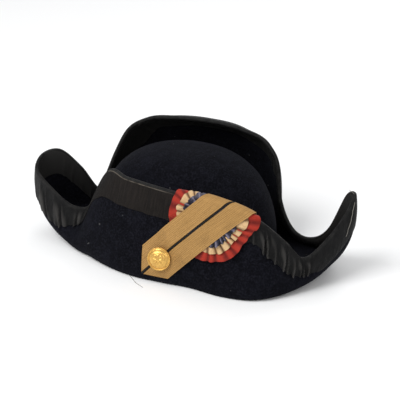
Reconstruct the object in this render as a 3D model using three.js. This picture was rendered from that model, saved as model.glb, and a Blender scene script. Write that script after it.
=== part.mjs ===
// A bicorne hat resting on the underside of its brim: millimetres, +Z up, the two horns along X,
// the low flap with the cockade toward -Y and the tall flap toward +Y.
//
// The felt is one surface. Every meridian starts at the top of the crown, runs down the crown wall,
// turns at the head opening, touches the table on the foot and climbs the turned-up brim to its edge.
import * as THREE from 'three';

// Overall sizes of the felt
const HAT_LENGTH = 376;
const HAT_DEPTH = 200;
const FRONT_HEIGHT = 102;
const RIGHT_HORN_HEIGHT = 97;
const LEFT_HORN_HEIGHT = 93;
const FELT = 2.6;

// Crown: the oval of the head opening and the dome over it
const CROWN_LENGTH = 204;
const CROWN_WIDTH = 158;
const CROWN_HEIGHT = 119.5;
const CROWN_BACK = 6;
const CROWN_SIDE = -10;
// How square the dome is from above and from the side: 2 is a plain ellipse
const CROWN_SQUARENESS = 2.7;
const DOME_SQUARENESS = 2.35;
const OPENING_LIFT = 13;
// How far the tall flap stands over the top of the crown
const REAR_RISE = 12.5;

// Brim: how far the fold stands out of the crown, how far the horn ends lift, how wide it lands
const FOLD_REACH = 47;
const HORN_LIFT = 7;
const FOOT_WIDTH = 6;
const FOOT_PRESS = 0.35;

// Trimmings
const GAP = 0.3;
const RIBBON_WIDTH = 30;
const RIBBON_THICK = 1.0;
const COCKADE_RADIUS = 45;
const COCKADE_CREAM = 35.2;
const COCKADE_BLUE = 25;
const COCKADE_HOLE = 14;
const COCKADE_THICK = 1.1;
const COCKADE_X = 51.5;
const COCKADE_DROP = 18.5;
// How far the cockade's right side is drawn out, and which way, in degrees up from the right
const COCKADE_PULL = 6;
const COCKADE_PULL_WAY = 4;
const PLEAT_COUNT = 24;
const PLEAT_DEPTH = 1.5;
const LACE_WIDTH = 44;
const LACE_LENGTH = 128;
const LACE_SLOPE = 46.5;
const LACE_TOP_X = 66.5;
const LACE_THICK = 1.0;
const LACE_HEM = 13;
const CORD_WIDTH = 2.2;
const CORD_RAISE = 0.25;
const BUTTON_DIAMETER = 25.4;
const BUTTON_HEIGHT = 6;
const BUTTON_RIM = 1.5;
const BUTTON_BACK = 30;
const BUTTON_TILT = 10;

// How finely the surface is cut
const AROUND = 80;
const DOME_ROWS = 7;
const TURN_ROWS = 3;
const WALL_ROWS = 7;

// The brim, station by station. The angle runs round the crown: 0 is the right horn, 90 the tall
// flap, 180 the left horn, 270 the low flap. Along is a share of half the length, across a share of
// half the depth, up a share of the named height, foot a share of FOLD_REACH, lift a share of
// HORN_LIFT. Belly, lean and drop shape the climb, as shares of the straight line from foot to edge.
// Band is a share of the ribbon's usual width there.
const HEIGHTS = {
  right: RIGHT_HORN_HEIGHT,
  rear: CROWN_HEIGHT + REAR_RISE,
  left: LEFT_HORN_HEIGHT,
  front: FRONT_HEIGHT,
};
const COLUMNS = [
  'at', 'along', 'across', 'height', 'up', 'foot', 'lift', 'belly', 'lean', 'drop', 'band',
];
const BRIM = [
  [0, 0.970, 0.030, 'right', 1.000, 0.890, 0.70, 0.38, 0.06, 0.42, 1.12],
  [6.5, 0.915, 0.130, 'right', 0.920, 0.868, 0.63, 0.38, 0.06, 0.40, 1.04],
  [14.5, 0.800, 0.250, 'right', 0.420, 0.811, 0.44, 0.45, 0.08, 0.35, 1.00],
  [24.5, 0.660, 0.360, 'right', 0.200, 0.607, 0.10, 0.45, 0.10, 0.30, 1.00],
  [34, 0.535, 0.440, 'rear', 0.200, 0.378, 0.00, 0.28, 0.14, 0.35, 1.00],
  [43, 0.445, 0.540, 'rear', 0.420, 0.289, 0.00, 0.12, 0.05, 0.30, 1.00],
  [50, 0.415, 0.600, 'rear', 0.700, 0.293, 0.00, 0.10, 0.09, 0.30, 1.00],
  [59, 0.340, 0.650, 'rear', 0.860, 0.322, 0.00, 0.14, 0.18, 0.15, 1.00],
  [74.5, 0.170, 0.670, 'rear', 0.955, 0.336, 0.00, 0.14, 0.30, 0.04, 1.00],
  [95.5, -0.040, 0.670, 'rear', 0.995, 0.287, 0.00, 0.14, 0.36, 0.02, 1.00],
  [115, -0.260, 0.660, 'rear', 0.985, 0.272, 0.00, 0.14, 0.36, 0.04, 1.00],
  [128.5, -0.440, 0.620, 'rear', 0.950, 0.271, 0.00, 0.16, 0.32, 0.12, 1.00],
  [138, -0.560, 0.560, 'rear', 0.840, 0.269, 0.01, 0.20, 0.26, 0.28, 1.00],
  [146, -0.630, 0.480, 'rear', 0.630, 0.312, 0.16, 0.26, 0.20, 0.33, 1.00],
  [153, -0.680, 0.400, 'rear', 0.420, 0.408, 0.28, 0.32, 0.15, 0.35, 1.00],
  [158.5, -0.720, 0.350, 'left', 0.420, 0.488, 0.45, 0.42, 0.10, 0.35, 1.00],
  [166.5, -0.815, 0.250, 'left', 0.720, 0.557, 0.71, 0.48, 0.08, 0.35, 1.00],
  [174, -0.910, 0.120, 'left', 0.970, 0.611, 0.93, 0.52, 0.05, 0.40, 1.00],
  [182, -0.990, -0.030, 'left', 0.970, 0.620, 0.99, 0.49, 0.05, 0.40, 1.00],
  [190, -0.995, -0.200, 'left', 0.850, 0.624, 0.86, 0.49, 0.06, 0.40, 1.00],
  [200.5, -0.860, -0.360, 'left', 0.690, 0.587, 0.60, 0.50, 0.08, 0.35, 1.00],
  [209.5, -0.690, -0.420, 'left', 0.520, 0.513, 0.250, 0.45, 0.10, 0.35, 0.66],
  [216.5, -0.575, -0.410, 'front', 0.530, 0.407, 0.090, 0.37, 0.20, 0.35, 0.54],
  [221.5, -0.510, -0.400, 'front', 0.780, 0.308, 0.08, 0.30, 0.20, 0.35, 0.62],
  [229.5, -0.430, -0.450, 'front', 0.990, 0.256, 0.02, 0.24, 0.14, 0.35, 0.98],
  [242.5, -0.290, -0.580, 'front', 1.000, 0.256, 0.00, 0.18, 0.10, 0.35, 1.00],
  [257, -0.130, -0.670, 'front', 1.000, 0.260, 0.00, 0.15, 0.08, 0.35, 1.00],
  [274.5, 0.080, -0.745, 'front', 0.990, 0.260, 0.00, 0.15, 0.06, 0.35, 1.00],
  [292, 0.320, -0.770, 'front', 0.965, 0.411, 0.00, 0.15, 0.05, 0.35, 1.00],
  [305.5, 0.530, -0.750, 'front', 0.855, 0.802, 0.00, 0.17, 0.05, 0.35, 1.00],
  [317, 0.680, -0.640, 'front', 0.600, 1.089, 0.05, 0.25, 0.08, 0.35, 0.80],
  [327, 0.760, -0.480, 'right', 0.380, 1.130, 0.14, 0.38, 0.10, 0.35, 0.96],
  [338, 0.850, -0.300, 'right', 0.500, 1.081, 0.33, 0.42, 0.08, 0.38, 1.32],
  [349.5, 0.940, -0.100, 'right', 0.780, 0.976, 0.57, 0.38, 0.06, 0.40, 1.26],
];

const V = (x, y, z) => new THREE.Vector3(x, y, z);
const mix = (a, b, t) => a + (b - a) * t;
const mixV = (p, q, t) => p.clone().lerp(q, t);
const clamp = (v, lo, hi) => Math.min(hi, Math.max(lo, v));
const ease = (t) => {
  const c = clamp(t, 0, 1);
  return c * c * (3 - 2 * c);
};

// A smooth closed curve through one column of the table
function column(name) {
  const k = COLUMNS.indexOf(name);
  const heightAt = COLUMNS.indexOf('height');
  const count = BRIM.length;
  const value = (i) => {
    const row = BRIM[((i % count) + count) % count];
    return name === 'up' ? row[k] * HEIGHTS[row[heightAt]] : row[k];
  };
  const place = (i) => BRIM[((i % count) + count) % count][0] + 360 * Math.floor(i / count);
  return (angle) => {
    let i = 0;
    while (i < count - 1 && BRIM[i + 1][0] <= angle) i += 1;
    const x = [place(i - 1), place(i), place(i + 1), place(i + 2)];
    const y = [value(i - 1), value(i), value(i + 1), value(i + 2)];
    const rise = [0, 1, 2].map((j) => (y[j + 1] - y[j]) / (x[j + 1] - x[j]));
    const m1 = (rise[0] * (x[2] - x[1]) + rise[1] * (x[1] - x[0])) / (x[2] - x[0]);
    const m2 = (rise[1] * (x[3] - x[2]) + rise[2] * (x[2] - x[1])) / (x[3] - x[1]);
    const h = x[2] - x[1];
    const t = (angle - x[1]) / h;
    const t2 = t * t;
    const t3 = t2 * t;
    const ends = (2 * t3 - 3 * t2 + 1) * y[1] + (3 * t2 - 2 * t3) * y[2];
    return ends + (t3 - 2 * t2 + t) * h * m1 + (t3 - t2) * h * m2;
  };
}

const SHAPE = {};
for (const name of COLUMNS) {
  if (name !== 'at' && name !== 'height') SHAPE[name] = column(name);
}

function bezier(p, t) {
  const s = 1 - t;
  return V(0, 0, 0)
    .addScaledVector(p[0], s * s * s)
    .addScaledVector(p[1], 3 * t * s * s)
    .addScaledVector(p[2], 3 * t * t * s)
    .addScaledVector(p[3], t * t * t);
}

// One meridian of the middle of the felt, with its own ribbon width and climb length
function meridian(angle) {
  const r = THREE.MathUtils.degToRad(angle);
  const a = CROWN_LENGTH / 2;
  const b = CROWN_WIDTH / 2;
  const out = V(b * Math.cos(r), a * Math.sin(r), 0).normalize();
  const points = [];
  for (let k = 1; k <= DOME_ROWS; k += 1) {
    const u = ((k / DOME_ROWS) * Math.PI) / 2;
    const wide = Math.sin(u) ** (2 / CROWN_SQUARENESS);
    const high = Math.max(Math.cos(u), 0) ** (2 / DOME_SQUARENESS);
    const z = mix(OPENING_LIFT, CROWN_HEIGHT - FELT / 2, k === DOME_ROWS ? 0 : high);
    points.push(V(CROWN_SIDE + a * wide * Math.cos(r), CROWN_BACK + b * wide * Math.sin(r), z));
  }
  const base = points[points.length - 1];
  const lift = SHAPE.lift(angle) * HORN_LIFT + FELT / 2 - FOOT_PRESS;
  const foot = base.clone().addScaledVector(out, SHAPE.foot(angle) * FOLD_REACH);
  foot.z = Math.max(lift, FELT / 2 - FOOT_PRESS);
  const inner = foot.clone().addScaledVector(out, -FOOT_WIDTH / 2);
  const outer = foot.clone().addScaledVector(out, FOOT_WIDTH / 2);
  const turn = [
    base,
    base.clone().add(V(0, 0, -OPENING_LIFT * 0.58)),
    inner.clone().addScaledVector(out, -Math.min(8, base.distanceTo(inner) * 0.5)),
    inner,
  ];
  for (let k = 1; k <= TURN_ROWS; k += 1) points.push(bezier(turn, k / TURN_ROWS));
  points.push(outer);

  const edge = V(
    (SHAPE.along(angle) * HAT_LENGTH) / 2,
    (SHAPE.across(angle) * HAT_DEPTH) / 2,
    SHAPE.up(angle) - FELT / 2,
  );
  const span = edge.distanceTo(outer);
  const climb = [
    outer,
    outer.clone().addScaledVector(out, span * SHAPE.belly(angle)),
    edge.clone().addScaledVector(out, span * SHAPE.lean(angle)).add(V(0, 0, -span * SHAPE.drop(angle))),
    edge,
  ];
  const fine = 80;
  const run = [0];
  for (let k = 1; k <= fine; k += 1) {
    run.push(run[k - 1] + bezier(climb, k / fine).distanceTo(bezier(climb, (k - 1) / fine)));
  }
  const total = run[fine];
  const at = (s) => {
    let k = 0;
    while (k < fine - 1 && run[k + 1] < s) k += 1;
    return bezier(climb, (k + clamp((s - run[k]) / (run[k + 1] - run[k]), 0, 1)) / fine);
  };
  const ribbon = Math.min(RIBBON_WIDTH, total * 0.46) * SHAPE.band(angle);
  const low = WALL_ROWS - 2;
  for (let k = 1; k <= low; k += 1) points.push(at((total - ribbon) * (k / low) ** 1.35));
  points.push(at(total - ribbon / 2));
  points.push(edge);
  return { points, ribbon };
}

const TOE = DOME_ROWS + TURN_ROWS;
const ROWS = DOME_ROWS + TURN_ROWS + 1 + WALL_ROWS;
const EDGE_ROW = ROWS - 1;
const MERIDIANS = [];
for (let j = 0; j < AROUND; j += 1) MERIDIANS.push(meridian((360 * j) / AROUND));
const APEX = V(CROWN_SIDE, CROWN_BACK, CROWN_HEIGHT - FELT / 2);
const wrapColumn = (j) => ((j % AROUND) + AROUND) % AROUND;
const felt = (i, j) => MERIDIANS[wrapColumn(j)].points[i];

// The side of the felt that faces the table and, on the brim, the viewer
const FACING = [];
for (let i = 0; i < ROWS; i += 1) {
  const row = [];
  for (let j = 0; j < AROUND; j += 1) {
    const up = i === 0 ? APEX : felt(i - 1, j);
    const down = i === EDGE_ROW ? felt(i, j) : felt(i + 1, j);
    const along = down.clone().sub(up);
    const around = felt(i, j + 1).clone().sub(felt(i, j - 1));
    row.push(around.cross(along).normalize());
  }
  FACING.push(row);
}
const facing = (i, j) => FACING[i][wrapColumn(j)];

// A thin solid from a flat net of triangles and its two sides
function sheetSolid(count, faces, lower, upper) {
  const positions = [];
  for (let k = 0; k < count; k += 1) positions.push(...lower(k).toArray());
  for (let k = 0; k < count; k += 1) positions.push(...upper(k).toArray());
  const index = [];
  const seen = new Map();
  for (const [a, b, c] of faces) {
    index.push(a, c, b);
    index.push(a + count, b + count, c + count);
    for (const [p, q] of [[a, b], [b, c], [c, a]]) {
      const back = `${q}_${p}`;
      if (seen.has(back)) seen.delete(back);
      else seen.set(`${p}_${q}`, [p, q]);
    }
  }
  for (const [p, q] of seen.values()) {
    index.push(p, q, q + count);
    index.push(p, q + count, p + count);
  }
  const geometry = new THREE.BufferGeometry();
  geometry.setAttribute('position', new THREE.Float32BufferAttribute(positions, 3));
  geometry.setIndex(index);
  return geometry;
}

// A net of rows by columns, closed round or open; from the row named on, its squares are cut the
// other way, to lie flat on a net that runs the other way
function net(rows, columns, closed, turnAt = rows) {
  const faces = [];
  const last = closed ? columns : columns - 1;
  for (let i = 0; i < rows - 1; i += 1) {
    for (let j = 0; j < last; j += 1) {
      const k = (j + 1) % columns;
      const a = i * columns + j;
      const b = i * columns + k;
      const c = (i + 1) * columns + k;
      const d = (i + 1) * columns + j;
      if (i < turnAt) faces.push([a, b, c], [a, c, d]);
      else faces.push([a, b, d], [b, c, d]);
    }
  }
  return faces;
}

// Felt body: crown and brim in one piece, pressed flat where it rests
function feltBody() {
  const count = ROWS * AROUND + 1;
  const apex = count - 1;
  const faces = net(ROWS, AROUND, true);
  for (let j = 0; j < AROUND; j += 1) faces.push([apex, (j + 1) % AROUND, j]);
  const side = (k, sign) => {
    if (k === apex) return APEX.clone().add(V(0, 0, (sign * FELT) / 2));
    const i = Math.floor(k / AROUND);
    const j = k % AROUND;
    const p = felt(i, j).clone().addScaledVector(facing(i, j), (-sign * FELT) / 2);
    p.z = Math.max(p.z, sign > 0 ? FELT * 0.55 : 0);
    return p;
  };
  return sheetSolid(count, faces, (k) => side(k, 1), (k) => side(k, -1));
}

// The way past the brim's edge, in line with the felt and square to its facing
function beyond(j) {
  const n = facing(EDGE_ROW, j);
  const d = felt(EDGE_ROW, j).clone().sub(felt(EDGE_ROW - 1, j));
  return d.addScaledVector(n, -d.dot(n)).normalize();
}

// Border ribbon: folded over the edge, as wide outside as inside
function borderRibbon() {
  const stops = [
    [EDGE_ROW - 2, 1, 0],
    [EDGE_ROW - 1, 1, 0],
    [EDGE_ROW, 1, 0],
    [EDGE_ROW, 0, 1],
    [EDGE_ROW, -1, 0],
    [EDGE_ROW - 1, -1, 0],
    [EDGE_ROW - 2, -1, 0],
  ];
  const side = (k, off) => {
    const [i, n, b] = stops[Math.floor(k / AROUND)];
    const j = k % AROUND;
    const reach = FELT / 2 + off;
    const p = felt(i, j).clone().addScaledVector(facing(i, j), n * reach);
    return b ? p.addScaledVector(beyond(j), reach) : p;
  };
  const faces = net(stops.length, AROUND, true, 3);
  const count = stops.length * AROUND;
  return sheetSolid(count, faces, (k) => side(k, GAP), (k) => side(k, GAP + RIBBON_THICK));
}

// The low flap as a flat panel: x across, h the way up the felt from the foot, off the height over
// the felt. Past the edge the panel bends back over a round of the given radius and hangs behind.
const CLIMB = MERIDIANS.map((m) => {
  const lengths = [0];
  for (let i = EDGE_ROW; i > TOE; i -= 1) {
    lengths.push(lengths[lengths.length - 1] + m.points[i].distanceTo(m.points[i - 1]));
  }
  return lengths;
});
const FIRST = Math.round((AROUND * 236) / 360);
const LAST = Math.round((AROUND * 312) / 360);

function onMeridian(j, below) {
  const lengths = CLIMB[wrapColumn(j)];
  const s = clamp(below, 0, lengths[lengths.length - 1]);
  let k = 0;
  while (k < lengths.length - 2 && lengths[k + 1] < s) k += 1;
  const t = (s - lengths[k]) / (lengths[k + 1] - lengths[k]);
  return {
    point: mixV(felt(EDGE_ROW - k, j), felt(EDGE_ROW - k - 1, j), t),
    normal: mixV(facing(EDGE_ROW - k, j), facing(EDGE_ROW - k - 1, j), t).normalize(),
  };
}

function edgeHeight(x) {
  for (let j = FIRST; j < LAST; j += 1) {
    const p = felt(EDGE_ROW, j).x;
    const q = felt(EDGE_ROW, j + 1).x;
    if (x <= q || j === LAST - 1) {
      const here = CLIMB[wrapColumn(j)];
      const next = CLIMB[wrapColumn(j + 1)];
      return mix(here[here.length - 1], next[next.length - 1], (x - p) / (q - p));
    }
  }
  return 0;
}

function panel(x, h, off, bend) {
  for (let j = FIRST; j < LAST; j += 1) {
    const sides = [j, j + 1].map((c) => {
      const lengths = CLIMB[wrapColumn(c)];
      const below = lengths[lengths.length - 1] - h;
      return { below, past: beyond(c), ...onMeridian(c, below) };
    });
    if (x <= sides[1].point.x || j === LAST - 1) {
      const t = (x - sides[0].point.x) / (sides[1].point.x - sides[0].point.x);
      const point = mixV(sides[0].point, sides[1].point, t);
      const n = mixV(sides[0].normal, sides[1].normal, t).normalize();
      const past = mixV(sides[0].past, sides[1].past, t).normalize();
      const over = Math.max(0, -mix(sides[0].below, sides[1].below, t));
      if (over === 0) return point.addScaledVector(n, FELT / 2 + off);
      const start = FELT / 2 + bend.base;
      const reach = bend.radius + off - bend.base;
      const turn = Math.min(over / bend.radius, Math.PI);
      const rest = Math.max(0, over - bend.radius * Math.PI);
      point.addScaledVector(n, start - bend.radius + Math.cos(turn) * reach);
      point.addScaledVector(past, Math.sin(turn) * reach - rest);
      return point;
    }
  }
  return null;
}

// Where the lace runs: down and to the left from the edge
const SLOPE = THREE.MathUtils.degToRad(LACE_SLOPE);
const LACE_TOP = edgeHeight(LACE_TOP_X);
const COCKADE_H = edgeHeight(COCKADE_X) - COCKADE_DROP;
const COCKADE_BASE = GAP * 3.5 + RIBBON_THICK;
const COCKADE_BEND = FELT / 2 + RIBBON_THICK + GAP * 6.5;

// Distance of a panel point from the line down the middle of the lace, which past the top of its
// fold runs straight back
function besideLace(x, h) {
  const face = Math.min(h, edgeHeight(x) + LACE_CREST);
  return Math.abs((x - LACE_TOP_X) * Math.sin(SLOPE) - (face - LACE_TOP) * Math.cos(SLOPE));
}

// Cockade: three pleated rings in one plane, pressed flat under the lace
function cockadeRing(inner, outer, radial, scallop) {
  const around = PLEAT_COUNT * 2;
  const where = (k) => {
    const turn = ((k % around) * Math.PI * 2) / around;
    const step = Math.floor(k / around) / radial;
    const crest = k % 2 === 0 ? 1 : 0;
    const round = step === 1 ? outer - scallop * (1 - crest) : mix(inner, outer, step);
    const along = Math.max(0, Math.cos(turn - THREE.MathUtils.degToRad(COCKADE_PULL_WAY)));
    const edge = round * (1 + (COCKADE_PULL / COCKADE_RADIUS) * along ** 12);
    const x = COCKADE_X + edge * Math.cos(turn);
    const h = COCKADE_H + edge * Math.sin(turn);
    const free = ease((besideLace(x, h) - LACE_WIDTH / 2 - PLEAT_DEPTH * 2) / (PLEAT_DEPTH * 4));
    return { x, h, crest: crest * free, free };
  };
  const side = (k, thick) => {
    const { x, h, crest, free } = where(k);
    const bend = { base: COCKADE_BASE, radius: COCKADE_BEND + free * 1.2 };
    return panel(x, h, COCKADE_BASE + crest * PLEAT_DEPTH + thick, bend);
  };
  const faces = net(radial + 1, around, true).map(([a, b, c]) => [a, c, b]);
  const count = (radial + 1) * around;
  return sheetSolid(count, faces, (k) => side(k, 0), (k) => side(k, COCKADE_THICK));
}

// Lace loop: rows run from its hem behind the edge down to the mitred point
const LACE_OVER = COCKADE_BASE + COCKADE_THICK + GAP * 1.5;
const LACE_UNDER = GAP * 2.5;
const LACE_BEND = COCKADE_BEND + COCKADE_THICK + GAP * 3;
const LACE_CREST = (Math.PI * LACE_BEND) / 2;

function laceOff(x, h) {
  const away = Math.hypot(x - COCKADE_X, h - COCKADE_H) - COCKADE_RADIUS;
  return mix(LACE_OVER, LACE_UNDER, ease((away - 7) / 14));
}

// A point of the lace: down is the way along it from the edge, beside the way off its middle
function lacePoint(down, beside) {
  return {
    x: LACE_TOP_X - down * Math.cos(SLOPE) - beside * Math.sin(SLOPE),
    h: LACE_TOP - down * Math.sin(SLOPE) + beside * Math.cos(SLOPE),
  };
}

// Follow a line parallel to the lace's middle and stop a given way below the brim's edge, or past it
// where the way is less than zero
function laceAt(beside, below) {
  let down = 0;
  for (let k = 0; k < 12; k += 1) {
    const p = lacePoint(down, beside);
    down += (p.h - (edgeHeight(p.x) - below)) / Math.sin(SLOPE);
  }
  return { ...lacePoint(down, beside), down };
}

const HALF_LACE = LACE_WIDTH / 2;
const FOLD_STEPS = 6;
const FACE_STOPS = 22;
const HEM_STOPS = [-LACE_HEM - Math.PI * LACE_BEND];
for (let k = FOLD_STEPS; k >= 0; k -= 1) HEM_STOPS.push((-Math.PI * LACE_BEND * k) / FOLD_STEPS);

// A strip of the lace between two lines beside its middle, cut off by the two sides of the point
function laceStrip(left, right, across, base, top) {
  const spots = [];
  const faces = [];
  const limit = (beside) => LACE_LENGTH - Math.abs(beside);
  const line = (beside) => {
    const list = HEM_STOPS.map((below) => {
      const { x } = laceAt(beside, Math.max(below, -LACE_CREST));
      return { x, h: edgeHeight(x) - below };
    });
    const first = laceAt(beside, 0).down;
    for (let k = 1; k <= FACE_STOPS; k += 1) {
      list.push(lacePoint(mix(first, limit(beside), k / FACE_STOPS), beside));
    }
    return list;
  };
  for (let c = 0; c <= across; c += 1) spots.push(line(mix(left, right, c / across)));
  const rows = spots[0].length;
  for (let c = 0; c < across; c += 1) {
    for (let r = 0; r < rows - 1; r += 1) {
      const a = c * rows + r;
      faces.push([a, a + rows, a + rows + 1], [a, a + rows + 1, a + 1]);
    }
  }
  const flat = spots.flat();
  const side = (k, extra) => {
    const { x, h } = flat[k];
    return panel(x, h, laceOff(x, h) + extra, { base: LACE_OVER, radius: LACE_BEND });
  };
  return sheetSolid(flat.length, faces, (k) => side(k, base), (k) => side(k, top));
}

// Button: a domed shell with a raised rim and a plain raised ring, flat at the back
function button() {
  const radius = BUTTON_DIAMETER / 2;
  const spot = lacePoint(LACE_LENGTH - BUTTON_BACK, 0);
  const at = panel(spot.x, spot.h, 0, { base: 0, radius: 1 });
  const step = 2;
  const right = panel(spot.x + step, spot.h, 0, { base: 0, radius: 1 });
  const up = panel(spot.x, spot.h + step, 0, { base: 0, radius: 1 });
  const rightward = right.sub(at).normalize();
  const axis = rightward.clone().cross(up.sub(at)).normalize();
  const tilt = THREE.MathUtils.degToRad(BUTTON_TILT);
  axis.multiplyScalar(Math.cos(tilt)).addScaledVector(rightward, Math.sin(tilt)).normalize();
  let rise = 0;
  for (let k = 0; k < 24; k += 1) {
    const turn = (k * Math.PI) / 12;
    const x = spot.x + radius * Math.cos(turn);
    const h = spot.h + radius * Math.sin(turn);
    const off = laceOff(x, h) + LACE_THICK + CORD_RAISE;
    const p = panel(x, h, off, { base: 0, radius: 1 });
    rise = Math.max(rise, p.sub(at).dot(axis));
  }
  const centre = panel(spot.x, spot.h, laceOff(spot.x, spot.h) + LACE_THICK + CORD_RAISE, null);
  rise = Math.max(rise, centre.sub(at).dot(axis)) + GAP;
  const rim = BUTTON_RIM;
  const profile = [
    [0, 0],
    [radius - 1, 0],
    [radius, 0.7],
    [radius, 1.6],
    [radius - rim * 0.5, 2.1],
    [radius - rim, 1.7],
    [radius * 0.72, BUTTON_HEIGHT * 0.62],
    [radius * 0.62, BUTTON_HEIGHT * 0.84],
    [radius * 0.5, BUTTON_HEIGHT * 0.8],
    [radius * 0.25, BUTTON_HEIGHT * 0.95],
    [0, BUTTON_HEIGHT],
  ];
  const around = 28;
  const positions = [];
  const frame = new THREE.Quaternion().setFromUnitVectors(V(0, 0, 1), axis);
  const put = (r, turn, z) => {
    const p = V(r * Math.cos(turn), r * Math.sin(turn), z + rise).applyQuaternion(frame).add(at);
    positions.push(...p.toArray());
  };
  const rings = profile.slice(1, -1);
  for (const [r, z] of rings) {
    for (let k = 0; k < around; k += 1) put(r, (k * Math.PI * 2) / around, z);
  }
  put(0, 0, profile[0][1]);
  put(0, 0, BUTTON_HEIGHT);
  const index = [];
  const back = rings.length * around;
  for (const [a, b, c] of net(rings.length, around, true)) index.push(a, b, c);
  for (let k = 0; k < around; k += 1) {
    const next = (k + 1) % around;
    const last = (rings.length - 1) * around;
    index.push(back, next, k);
    index.push(back + 1, last + k, last + next);
  }
  const geometry = new THREE.BufferGeometry();
  geometry.setAttribute('position', new THREE.Float32BufferAttribute(positions, 3));
  geometry.setIndex(index);
  return geometry;
}

function piece(name, geometry, color, roughness, metalness) {
  geometry.computeVertexNormals();
  const material = new THREE.MeshStandardMaterial({ color, roughness, metalness });
  const mesh = new THREE.Mesh(geometry, material);
  mesh.name = name;
  return mesh;
}

const slot = CORD_WIDTH / 2 + GAP;
const hat = new THREE.Group();
hat.name = 'bicorne_hat';
hat.add(
  piece('felt_body', feltBody(), '#12141d', 0.95, 0),
  piece('border_ribbon', borderRibbon(), '#1b1a1a', 0.6, 0),
  piece('cockade_red_ring', cockadeRing(COCKADE_CREAM + GAP, COCKADE_RADIUS, 3, 1.2), '#b8322b', 0.7, 0),
  piece('cockade_cream_ring', cockadeRing(COCKADE_BLUE + GAP, COCKADE_CREAM, 3, 0), '#e8d3a4', 0.7, 0),
  piece('cockade_blue_ring', cockadeRing(COCKADE_HOLE, COCKADE_BLUE, 2, 0), '#2b2947', 0.7, 0),
  piece('lace_upper_run', laceStrip(slot, HALF_LACE, 3, 0, LACE_THICK), '#a8854a', 0.5, 0.4),
  piece('lace_lower_run', laceStrip(-HALF_LACE, -slot, 3, 0, LACE_THICK), '#a8854a', 0.5, 0.4),
  piece('lace_cord', laceStrip(-CORD_WIDTH / 2, CORD_WIDTH / 2, 1, 0, LACE_THICK + CORD_RAISE),
    '#0d0c0c', 0.8, 0),
  piece('button', button(), '#d9a437', 0.3, 1),
);

// The origin is under the middle of the whole hat, on the table
const box = new THREE.Box3().setFromObject(hat);
const middle = box.getCenter(V(0, 0, 0));
for (const mesh of hat.children) mesh.geometry.translate(-middle.x, -middle.y, -box.min.z);

export default hat;
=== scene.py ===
# %% [markdown]
# # A felt bicorne with a cockade and a gold loop
#
# The hat is one sheet of stiff felt: a crown in the middle and a wide brim turned up all round,
# low at the front, tall at the back and drawn out into two horns at the sides. A ribbon is folded
# over the whole edge. On the low flap sit a pleated cockade, a loop of gold lace and a button.
#
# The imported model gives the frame: its box, its place on the table and the space of every piece.
# Here each piece is made again, finely, in that same frame, and given its finish. A mesh could be
# sculpted by eye instead, but worked out from the same sizes it can't drift off its solid.

# %% The frame
import math

import bmesh
import bpy
import numpy as np
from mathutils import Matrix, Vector, noise


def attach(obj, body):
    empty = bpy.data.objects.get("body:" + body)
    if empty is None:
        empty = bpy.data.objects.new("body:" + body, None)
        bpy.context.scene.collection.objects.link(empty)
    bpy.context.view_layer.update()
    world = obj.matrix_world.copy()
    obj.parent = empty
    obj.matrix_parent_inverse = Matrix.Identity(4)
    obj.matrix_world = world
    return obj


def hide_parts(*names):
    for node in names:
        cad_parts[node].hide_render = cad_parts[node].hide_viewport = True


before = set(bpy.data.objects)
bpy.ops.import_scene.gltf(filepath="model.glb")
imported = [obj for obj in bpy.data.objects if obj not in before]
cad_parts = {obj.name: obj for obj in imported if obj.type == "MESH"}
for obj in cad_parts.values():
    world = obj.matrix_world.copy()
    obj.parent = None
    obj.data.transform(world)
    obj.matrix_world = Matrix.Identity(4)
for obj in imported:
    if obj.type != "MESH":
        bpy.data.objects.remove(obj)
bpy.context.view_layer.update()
MM = 0.001
scene = bpy.context.scene
scene.view_settings.view_transform = "Standard"

# %% [markdown]
# ## The camera
#
# The hat is seen from the low flap, a little above it and a little toward the right horn. A short
# lens close by would make the near flap loom, so a long lens from 1.35 m keeps the horns equal.
# The camera looks straight along its own axis, with no shift, so other views are framed alike.

# %% Camera
CAMERA_AT = Vector((462.9, -1125.2, 599.1)) * MM
CAMERA_BACK = Vector((0.34222, -0.84702, 0.40674))
LENS = 106.6
camera = bpy.data.objects.new("camera", bpy.data.cameras.new("camera"))
scene.collection.objects.link(camera)
camera.data.lens = LENS
camera.data.sensor_width = 36.0
camera.location = CAMERA_AT
camera.rotation_euler = CAMERA_BACK.to_track_quat("Z", "Y").to_euler()
scene.camera = camera
print("camera", [round(v, 3) for v in CAMERA_AT], "lens", LENS)

# %% [markdown]
# ## Sizes
#
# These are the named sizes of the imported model, in millimetres. The shapes below are worked out
# from them again, with many more points, so that each piece lies where its solid lies. They could
# be read off the solids' corners, but a dome's squareness or a hem's length has no corner.

# %% Sizes of the felt and the trimmings
HAT_LENGTH, HAT_DEPTH = 376.0, 200.0
HEIGHTS = {"right": 97.0, "rear": 132.0, "left": 93.0, "front": 102.0}
FELT = 2.6
CROWN_LENGTH, CROWN_WIDTH, CROWN_HEIGHT = 204.0, 158.0, 119.5
CROWN_BACK, CROWN_SIDE = 6.0, -10.0
# How square the dome is from above and from the side: 2 is a plain ellipse
CROWN_SQUARENESS, DOME_SQUARENESS = 2.7, 2.35
OPENING_LIFT, FOLD_REACH, HORN_LIFT = 13.0, 47.0, 7.0
FOOT_WIDTH, FOOT_PRESS = 6.0, 0.35
GAP, RIBBON_WIDTH, RIBBON_THICK = 0.3, 30.0, 1.0
COCKADE_RADIUS, COCKADE_CREAM, COCKADE_BLUE, COCKADE_HOLE = 45.0, 35.2, 25.0, 14.0
COCKADE_THICK, COCKADE_X, COCKADE_DROP = 1.1, 51.5, 18.5
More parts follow.
